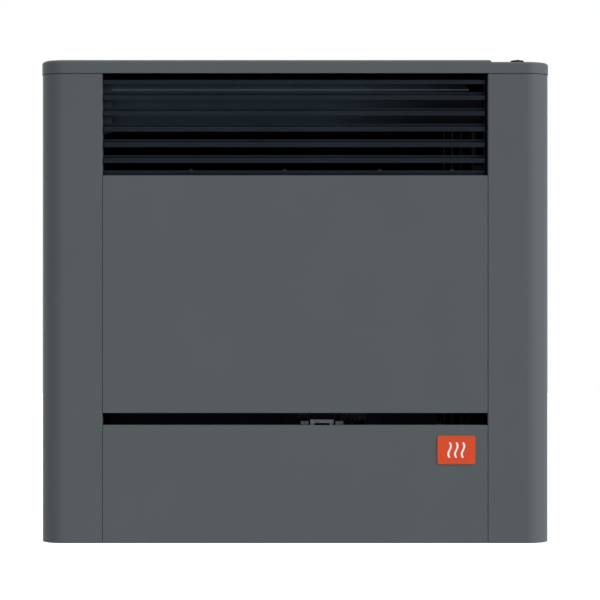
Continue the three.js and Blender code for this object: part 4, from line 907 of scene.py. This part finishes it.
bezelSet = {"stemHole": 0.0044, "cup": 0.0237, "bore": 0.0225, "floor": 0.0012, "rimHeight": 0.0008,
            "chamfer": 0.0003, "corner": 0.0006, "rimBend": 0.0006, "rimLip": 0.0035, "steps": 96,
            "figures": "01234567", "size": 0.0026,
            "proud": 0.00008, "curveSteps": 3, "from": -90, "sweep": 270, "dots": 3, "dot": 0.00025,
            "dotSides": 10}
low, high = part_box("knob_bezel")
rimRadius = (high.x - low.x) / 2
stemHole, cup, bore, cupFloor, rimHeight, chamfer, corner = [
    bezelSet[size] for size in ("stemHole", "cup", "bore", "floor", "rimHeight", "chamfer", "corner")]
place(turned("knob_bezel_cup", (knobX, knobY, 0), outline(
    (low.z, [(stemHole, 0), (cup, 0)]),
    (high.z, [(cup, -rimHeight), (rimRadius, -rimHeight), *rounded(rimRadius, 0, bezelSet["rimBend"], 4),
              (bore + chamfer, 0), (bore, -chamfer)]),
    (low.z + cupFloor, [(bore, corner), (bore - corner, 0), (stemHole, 0)])), steps=bezelSet["steps"]),
    satinBlack, "knob_bezel")


def onDial(step):  # the place and the turn of a mark, counted in figures from the first one
    turn = math.radians(bezelSet["from"] + bezelSet["sweep"] * step / (len(bezelSet["figures"]) - 1))
    return aroundKnob(rimRadius - bezelSet["rimLip"] / 2, turn, high.z), turn


marks = []
for i, figure in enumerate(bezelSet["figures"]):
    spot, turn = onDial(i)
    deselect()
    bpy.ops.object.text_add(location=spot, rotation=(0, 0, turn + math.pi / 2))
    sign = bpy.context.active_object.data
    sign.body, sign.size, sign.extrude = figure, bezelSet["size"], bezelSet["proud"]
    sign.align_x, sign.align_y, sign.resolution_u = "CENTER", "CENTER", bezelSet["curveSteps"]
    bpy.ops.object.convert(target="MESH")
    marks.append(newest("dial_figure"))
    if i < len(bezelSet["figures"]) - 1:
        marks += [addRod("dial_dot", "z", onDial(i + j / (bezelSet["dots"] + 1))[0], bezelSet["dot"],
                         2 * bezelSet["proud"], bezelSet["dotSides"]) for j in range(1, bezelSet["dots"] + 1)]
fasten(joinUp("dial_figures", marks), markPaint)


# Plain turned pieces: igniter and button, valve stem and collar, inlet pipe, and the spark's ceramic and rod.
# A profile's heights count from the bottom of the node's box, and in its second half from the top.

threadSet = {"radius": 0.008, "deep": 0.00045, "pitch": 0.001, "count": 14, "below": 0.0045}
thread = []
for i in range(threadSet["count"]):  # threaded neck of the igniter, under the cover
    level = (i - threadSet["count"] + 1) * threadSet["pitch"] - threadSet["below"]
    thread += [(threadSet["radius"] - threadSet["deep"], level - threadSet["pitch"] / 2),
               (threadSet["radius"], level)]
turnedShapes = {  # node: piece, finish, steps, angle that stays smooth, lower and upper profile
    "piezo_igniter": (
        "igniter_barrel", satinBlack, 48, 30,
        [(0, 0), (0.0022, 0), (0.0022, 0.006), (0.0066, 0.007), (0.008, 0.0095)],
        [*thread, (0.008, -0.0015), (0.011, -0.0015), *rounded(0.011, 0, 0.0007, 4), (0.0074, 0),
         (0.0072, -0.0002), (0.0072, -0.012), (0, -0.012)]),
    "piezo_button": (
        "igniter_button_cap", glossBlack, 48, 30, [(0, 0), (0.0064, 0)],
        [*rounded(0.0064, 0, 0.0009, 5), (0.0035, -0.00015), (0, -0.0004)]),
    "valve_stem": (
        "valve_stem_spindle", brightSteel, 32, 30, [(0, 0), (0.0036, 0), (0.004, 0.0004)],
        [(0.004, -0.0005), (0.0035, 0), (0, 0)]),
    "stem_collar": (
        "stem_collar_ring", turnedBrass, 40, 30, [(0.0043, 0), (0.0067, 0), (0.007, 0.0003)],
        [(0.007, -0.0003), (0.0067, 0), (0.0043, 0)]),
    "gas_inlet_pipe": (
        "gas_inlet_tube", drawnCopper, 40, 50,
        [(0, 0), (0.0066, 0), (0.007, 0.0004), (0.007, 0.012), (0.0076, 0.0125), (0.0076, 0.0145),
         (0.007, 0.015)],
        [(0.007, -0.0004), (0.0066, 0), (0, 0)]),
    "spark_electrode": (
        "spark_ceramic", firedCeramic, 32, 30,
        [(0, 0), (0.0032, 0), (0.0032, 0.005), (0.0024, 0.0056), (0.0024, 0.017), (0.0018, 0.018),
         (0, 0.018)], []),
}
for node, (name, material, steps, smooth, lower, upper) in turnedShapes.items():
    low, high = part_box(node)
    place(turned(name, (*middleOf(low, high), 0), outline((low.z, lower), (high.z, upper)), steps=steps),
          material, node, smooth)
low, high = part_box("spark_electrode")
fasten(turned("spark_rod", (*middleOf(low, high), 0), outline(
    (low.z, [(0, 0.017), (0.001, 0.017)]), (high.z, [(0.001, -0.0008), (0.0006, 0), (0, 0)])), steps=16),
    brightSteel)
report("controls fitted")


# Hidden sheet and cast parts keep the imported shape, with their faces made whole and their edges rounded.

packedShapes = {  # node: edge width, finish
    "base_plate": (0.0002, zincPlate),
    "cross_rail": (0.0003, innerBlackAndShade),
    "hinge_bracket_left": (0.0003, zincPlate),
    "hinge_bracket_right": (0.0003, zincPlate),
    "gas_valve": (0.0009, castAlloy),
    "valve_bracket": (0.0003, zincPlate),
    "chamber_shell": (0.0003, chamberEnamel),
    "chamber_gasket": (0.0006, gasketFibre),
    "chamber_front": (0.0006, chamberEnamel),
    "window_glass": (0.0008, sightGlass),
    "window_frame": (0.0006, chamberEnamel),
    "burner_support_left": (0.0003, heatedSteel),
    "burner_support_right": (0.0003, heatedSteel),
    "burner_tube": (0.00015, heatedSteel),
    "burner_injector": (0.0005, turnedBrass),
    "pilot_bracket": (0.0003, heatedSteel),
    "pilot_burner": (0.0003, heatedSteel),
    "inlet_union": (0.0007, turnedBrass),
    "air_box": (0.0003, zincPlate),
    "chamber_stand_left": (0.0004, zincPlate),
    "chamber_stand_right": (0.0004, zincPlate),
    "sensor_clip": (0.0003, zincPlate),
    "flue_spacer": (0.0003, brightSteel),
}
for node, (width, material) in packedShapes.items():
    place(refined(node, width), material, node)

# Back plate: pressed troughs stiffen it, and countersunk screws hold it to the side panels.
backSet = {"trough": 0.00545, "troughDeep": 0.0009, "troughHalf": 0.235, "troughSides": 64,
           "troughs": (-0.215, -0.175, -0.135, 0.19, 0.225), "edge": 0.00025, "rearward": 0.3,
           "screwX": 0.3145, "screws": (-0.285, -0.15, -0.01, 0.13, 0.265), "head": 0.0031, "sunk": 0.0011,
           "seatGap": 0.0003, "over": 0.001, "slot": (0.0017, 0.0004), "slotDeep": 0.0006, "steps": 20}
head, sunk, over = backSet["head"], backSet["sunk"], backSet["over"]
seat = head + backSet["seatGap"]
backPlate = refined("back_plate", 0)
cutters = [addRod("trough", "x", (0, backSet["trough"] - backSet["troughDeep"], z), backSet["trough"],
                  2 * backSet["troughHalf"], backSet["troughSides"]) for z in backSet["troughs"]]
screwSpots = [(side * backSet["screwX"], 0, z) for side in (-1, 1) for z in backSet["screws"]]
cutters += [turned("countersink", spot, [
    (0, -sunk), (0.0018, -sunk), (seat, 0.0001), (seat, over), (0, over)], "y", backSet["steps"])
    for spot in screwSpots]
cutAway(backPlate, joinUp("rear_cutters", cutters))
# The back plate's front takes the near-black paint, partly painted shade of the dark inside; its rear takes the
# primer.
place(soften(backPlate, backSet["edge"]), innerBlackAndShade, "back_plate", smooth=20)
secondFinish(backPlate, rearPrimer, lambda c, n: n.y > backSet["rearward"])
sunkHead = turned("sunk_head", (0, 0, 0), [
    (0, -sunk + 0.0001), (0.0016, -sunk + 0.0001), (head, -0.0002), (head, -0.00005), (head - 0.0001, 0),
    (0, 0)], steps=backSet["steps"])
cutAway(sunkHead, *crossArms(*backSet["slot"], -backSet["slotDeep"], over))
screwRow("back_plate_screws", sunkHead, "+y", screwSpots, zincPlate)
report("back plate pressed")

# Foam on the back plate closes the slit under the cover's rear edge, between the two tabs and beside them.
sealSet = {"front": 0.0024, "back": 0.00125, "below": 0.003, "above": 0.004, "tab": 0.2, "tabHalf": 0.0155,
           "end": 0.318, "edge": 0.0004, "edgeSteps": 3}
tabIn, tabOut, end = sealSet["tab"] - sealSet["tabHalf"], sealSet["tab"] + sealSet["tabHalf"], sealSet["end"]
seals = [soften(addBlock("seal", (left, -sealSet["front"], coverLow.z - sealSet["below"]),
                         (right, -sealSet["back"], coverLow.z + sealSet["above"])),
                sealSet["edge"], sealSet["edgeSteps"])
         for left, right in ((-end, -tabOut), (-tabIn, tabIn), (tabOut, end))]
fasten(joinUp("cover_rear_seal", seals), leadSleeve)
report("hidden parts finished")


# Flue and air duct: rolled tubes with a flange at the inner end and a bead near the outer one.

tubeSet = {"wall": 0.0012, "bead": 0.0012, "beadWidth": 0.004, "beadFromEnd": 0.014, "beadSteps": 8,
           "bend": 0.0015, "bendMiddle": 0.3, "lip": 0.0002, "steps": 96}
bend, lip, beadSteps = tubeSet["bend"], tubeSet["lip"], tubeSet["beadSteps"]
middle = bend * tubeSet["bendMiddle"]
for node, radius, flange, flangeThick, material in (
        ("flue_tube", 0.038, 0.048, 0.0012, brightSteel), ("air_duct", 0.055, 0.067, 0.001, zincPlate)):
    low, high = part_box(node)
    bore = radius - tubeSet["wall"]
    bead = [(radius + tubeSet["bead"] * math.sin(math.pi * i / beadSteps),
             tubeSet["beadWidth"] * (i / beadSteps - 0.5) - tubeSet["beadFromEnd"])
            for i in range(beadSteps + 1)]
    tube = turned(node + "_rolled", ((low.x + high.x) / 2, 0, (low.z + high.z) / 2), outline(
        (low.y, [(bore, 0), (flange, 0)]),
        (low.y + flangeThick, [(flange, 0), (radius + bend, 0), (radius + middle, middle),
                               (radius, bend)]),
        (high.y, [*bead, (radius, -lip), (radius - lip, 0), (bore + lip, 0), (bore, -lip)])),
        "y", tubeSet["steps"])
    place(tube, material, node)
report("flue and air duct rolled")


# Pipes and leads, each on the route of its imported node, with the nuts that hold them.

lineSet = {"step": 0.011, "bend": 0.010, "sides": 16}
nutSizes = {  # width across flats, length
    "supply": (0.016, 0.011), "inletTop": (0.021, 0.014), "inletFoot": (0.021, 0.013),
    "thermocouple": (0.009, 0.009), "pilot": (0.010, 0.009)}
nutEdge = 0.05
nuts = []


def addNut(kind, axis, centre):
    nuts.append(hexPrism("nut", axis, centre, *nutSizes[kind], nutEdge))


supplySet = {"radius": 0.005, "bend": 0.018, "elbow": 0.062, "sides": 24, "bendSteps": 10,
             "nutFromEnd": 0.006}
low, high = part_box("burner_supply_pipe")
injectorLow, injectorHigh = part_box("burner_injector")
burnerY, burnerZ = (injectorLow.y + injectorHigh.y) / 2, (injectorLow.z + injectorHigh.z) / 2
dropX, topZ = high.x - supplySet["bend"] - supplySet["radius"], high.z - supplySet["radius"]
elbowZ = burnerZ + supplySet["elbow"]
place(run("burner_supply_tube", [
    (high.x, knobY, topZ), (dropX, knobY, topZ), (dropX, knobY, elbowZ), (dropX, burnerY, elbowZ),
    (dropX, burnerY, burnerZ), (low.x, burnerY, burnerZ)],
    supplySet["bend"], supplySet["radius"], supplySet["sides"], supplySet["bendSteps"]),
    drawnCopper, "burner_supply_pipe", smooth=60)
addNut("supply", "x", (low.x + supplySet["nutFromEnd"], burnerY, burnerZ))
addNut("supply", "x", (high.x - supplySet["nutFromEnd"], knobY, topZ))

inletNuts = {"below": 0.008, "above": 0.0075}  # from the pipe's top end and from its foot
low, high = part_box("gas_inlet_pipe")
addNut("inletTop", "z", (knobX, knobY, high.z - inletNuts["below"]))
addNut("inletFoot", "z", (knobX, knobY, low.z + inletNuts["above"]))

pilotSet = {"thermocouple": 0.0015, "tube": 0.002, "probe": 0.0022, "lead": 0.0022, "leadTurn": 0.022,
            "nutFromEnd": 0.005, "probeSteps": 24}
low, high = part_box("thermocouple")
probeX, lineY = low.x + pilotSet["probe"], (low.y + high.y) / 2
probeZ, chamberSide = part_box("pilot_bracket")[1].z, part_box("chamber_shell")[1].x


def fromPilot(startX, radius, riser, foot):  # down from the pilot's bracket, then across to a riser
    riseX = chamberSide + lineSet["step"] * riser
    return [(startX, lineY, probeZ), (startX, lineY, foot + radius), (riseX, lineY, foot + radius)], riseX


def pilotLine(name, node, inset, radius, riser, nut):  # up the riser and over to the valve
    low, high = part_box(node)
    route, riseX = fromPilot(low.x + inset, radius, riser, low.z)
    top = high.z - radius
    line = run(name, route + [(riseX, lineY, top), (high.x, lineY, top)],
               lineSet["bend"], radius, lineSet["sides"])
    place(line, drawnCopper, node, smooth=60)
    addNut(nut, "x", (high.x - pilotSet["nutFromEnd"], lineY, top))


pilotLine("thermocouple_line", "thermocouple", pilotSet["probe"], pilotSet["thermocouple"], 1, "thermocouple")
pilotLine("pilot_tube_line", "pilot_tube", pilotSet["tube"], pilotSet["tube"], 2, "pilot")
fasten(turned("thermocouple_probe", (probeX, lineY, probeZ), [
    (0, 0.0003), (pilotSet["probe"], 0.0003), (pilotSet["probe"], 0.024), *rounded(0.0019, 0.028, 0.0014, 4),
    (0, 0.028)], steps=pilotSet["probeSteps"]), brightSteel)

low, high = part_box("ignition_lead")
route, riseX = fromPilot(low.x + pilotSet["lead"], pilotSet["lead"], 3, low.z)
turnZ, (piezoX, piezoY) = high.z - pilotSet["leadTurn"], middleOf(*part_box("piezo_igniter"))
place(run("ignition_lead_sleeve", route + [
    (riseX, lineY, turnZ), (riseX, piezoY, turnZ), (piezoX, piezoY, turnZ), (piezoX, piezoY, high.z)],
    lineSet["bend"], pilotSet["lead"], lineSet["sides"]), leadSleeve, "ignition_lead", smooth=60)

sensorSet = {"bulb": 0.004, "bulbSteps": 32, "capillary": 0.0012, "sides": 12, "from": 0.045, "rise": 0.090,
             "bend": 0.005, "end": 0.0233, "nose": ((0, 0), (0.0028, 0), (0.004, 0.0018)),
             "tail": ((0.004, 0.0875), (0.0022, 0.0895), (0, 0.090))}
low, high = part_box("thermostat_sensor")
bulbRadius, capillary = sensorSet["bulb"], sensorSet["capillary"]
bulbZ, bulbY = low.z + bulbRadius, high.y - bulbRadius
riseX, riseTop = high.x - capillary, high.z - capillary
bulb = turned("sensor_bulb", (low.x, bulbY, bulbZ), [*sensorSet["nose"], *sensorSet["tail"]], "x",
              sensorSet["bulbSteps"])
line = run("sensor_capillary", [
    (low.x + sensorSet["from"], bulbY, bulbZ), (riseX, bulbY, bulbZ),
    (riseX, knobY, bulbZ + sensorSet["rise"]), (riseX, knobY, riseTop),
    (knobX + sensorSet["end"], knobY, riseTop)],
    sensorSet["bend"], capillary, sensorSet["sides"])
place(joinUp("thermostat_sensor_line", [bulb, line]), drawnCopper, "thermostat_sensor", smooth=50)
fasten(joinUp("line_nuts", nuts), turnedBrass)
report("pipes and leads run")


# Screws and bolts on the hidden parts.

boltSet = {"pitch": 0.068, "inset": 0.007, "washer": 0.0018, "frameInset": 0.0045}
low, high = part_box("chamber_front")
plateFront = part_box("chamber_gasket")[0].y - boltSet["washer"]
left, right = low.x + boltSet["inset"], high.x - boltSet["inset"]
bottom, top = low.z + boltSet["inset"], high.z - boltSet["inset"]
columns, rows = round((right - left) / boltSet["pitch"]), round((top - bottom) / boltSet["pitch"])
spots = [(left + (right - left) * i / columns, plateFront, z)
         for i in range(columns + 1) for z in (bottom, top)]
spots += [(x, plateFront, bottom + (top - bottom) * i / rows) for i in range(1, rows) for x in (left, right)]
screwRow("chamber_bolts", hexBolt, "-y", spots, zincPlate)

low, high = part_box("window_frame")
inset = boltSet["frameInset"]
screwRow("window_frame_screws", panHead, "-y", [
    (x, low.y, z) for x in (low.x + inset, (low.x + high.x) / 2, high.x - inset)
    for z in (low.z + inset, high.z - inset)], zincPlate)

lidSet = {"half": 0.02, "fromBottom": 0.018, "fromTop": 0.012, "proud": 0.0025, "sunk": 0.0005,
          "corner": 0.004, "cornerSteps": 6, "edge": 0.0005, "inset": 0.005, "capSteps": 40,
          "cap": ((0, -0.006), (0.006, -0.006), (0.0068, -0.0052), (0.0068, -0.0005), (0.0074, 0),
                  (0.0074, 0.0004), (0, 0.0004))}
low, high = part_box("gas_valve")
half, lidFront = lidSet["half"], low.y - lidSet["proud"]
lidLow, lidHigh = low.z + lidSet["fromBottom"], high.z - lidSet["fromTop"]
lid = addBlock("valve_lid", (knobX - half, lidFront, lidLow), (knobX + half, low.y + lidSet["sunk"], lidHigh))
roundEdges(lid, lambda a, b: near(a.x, b.x) and near(a.z, b.z), lidSet["corner"], lidSet["cornerSteps"])
fasten(soften(lid, lidSet["edge"]), castAlloy)
reach = half - lidSet["inset"]
screwRow("valve_lid_screws", panHead, "-y", [
    (x, lidFront, z) for x in (knobX - reach, knobX + reach)
    for z in (lidLow + lidSet["inset"], lidHigh - lidSet["inset"])], zincPlate)
fasten(turned("regulator_cap", (knobX, lidFront, (lidLow + lidHigh) / 2), lidSet["cap"], "y",
              lidSet["capSteps"]), satinBlack)
report("screws and bolts set")


for spare in (panHead, hexBolt, sunkHead):
    bpy.data.meshes.remove(spare.data)

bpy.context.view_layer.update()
report("all pieces in place")
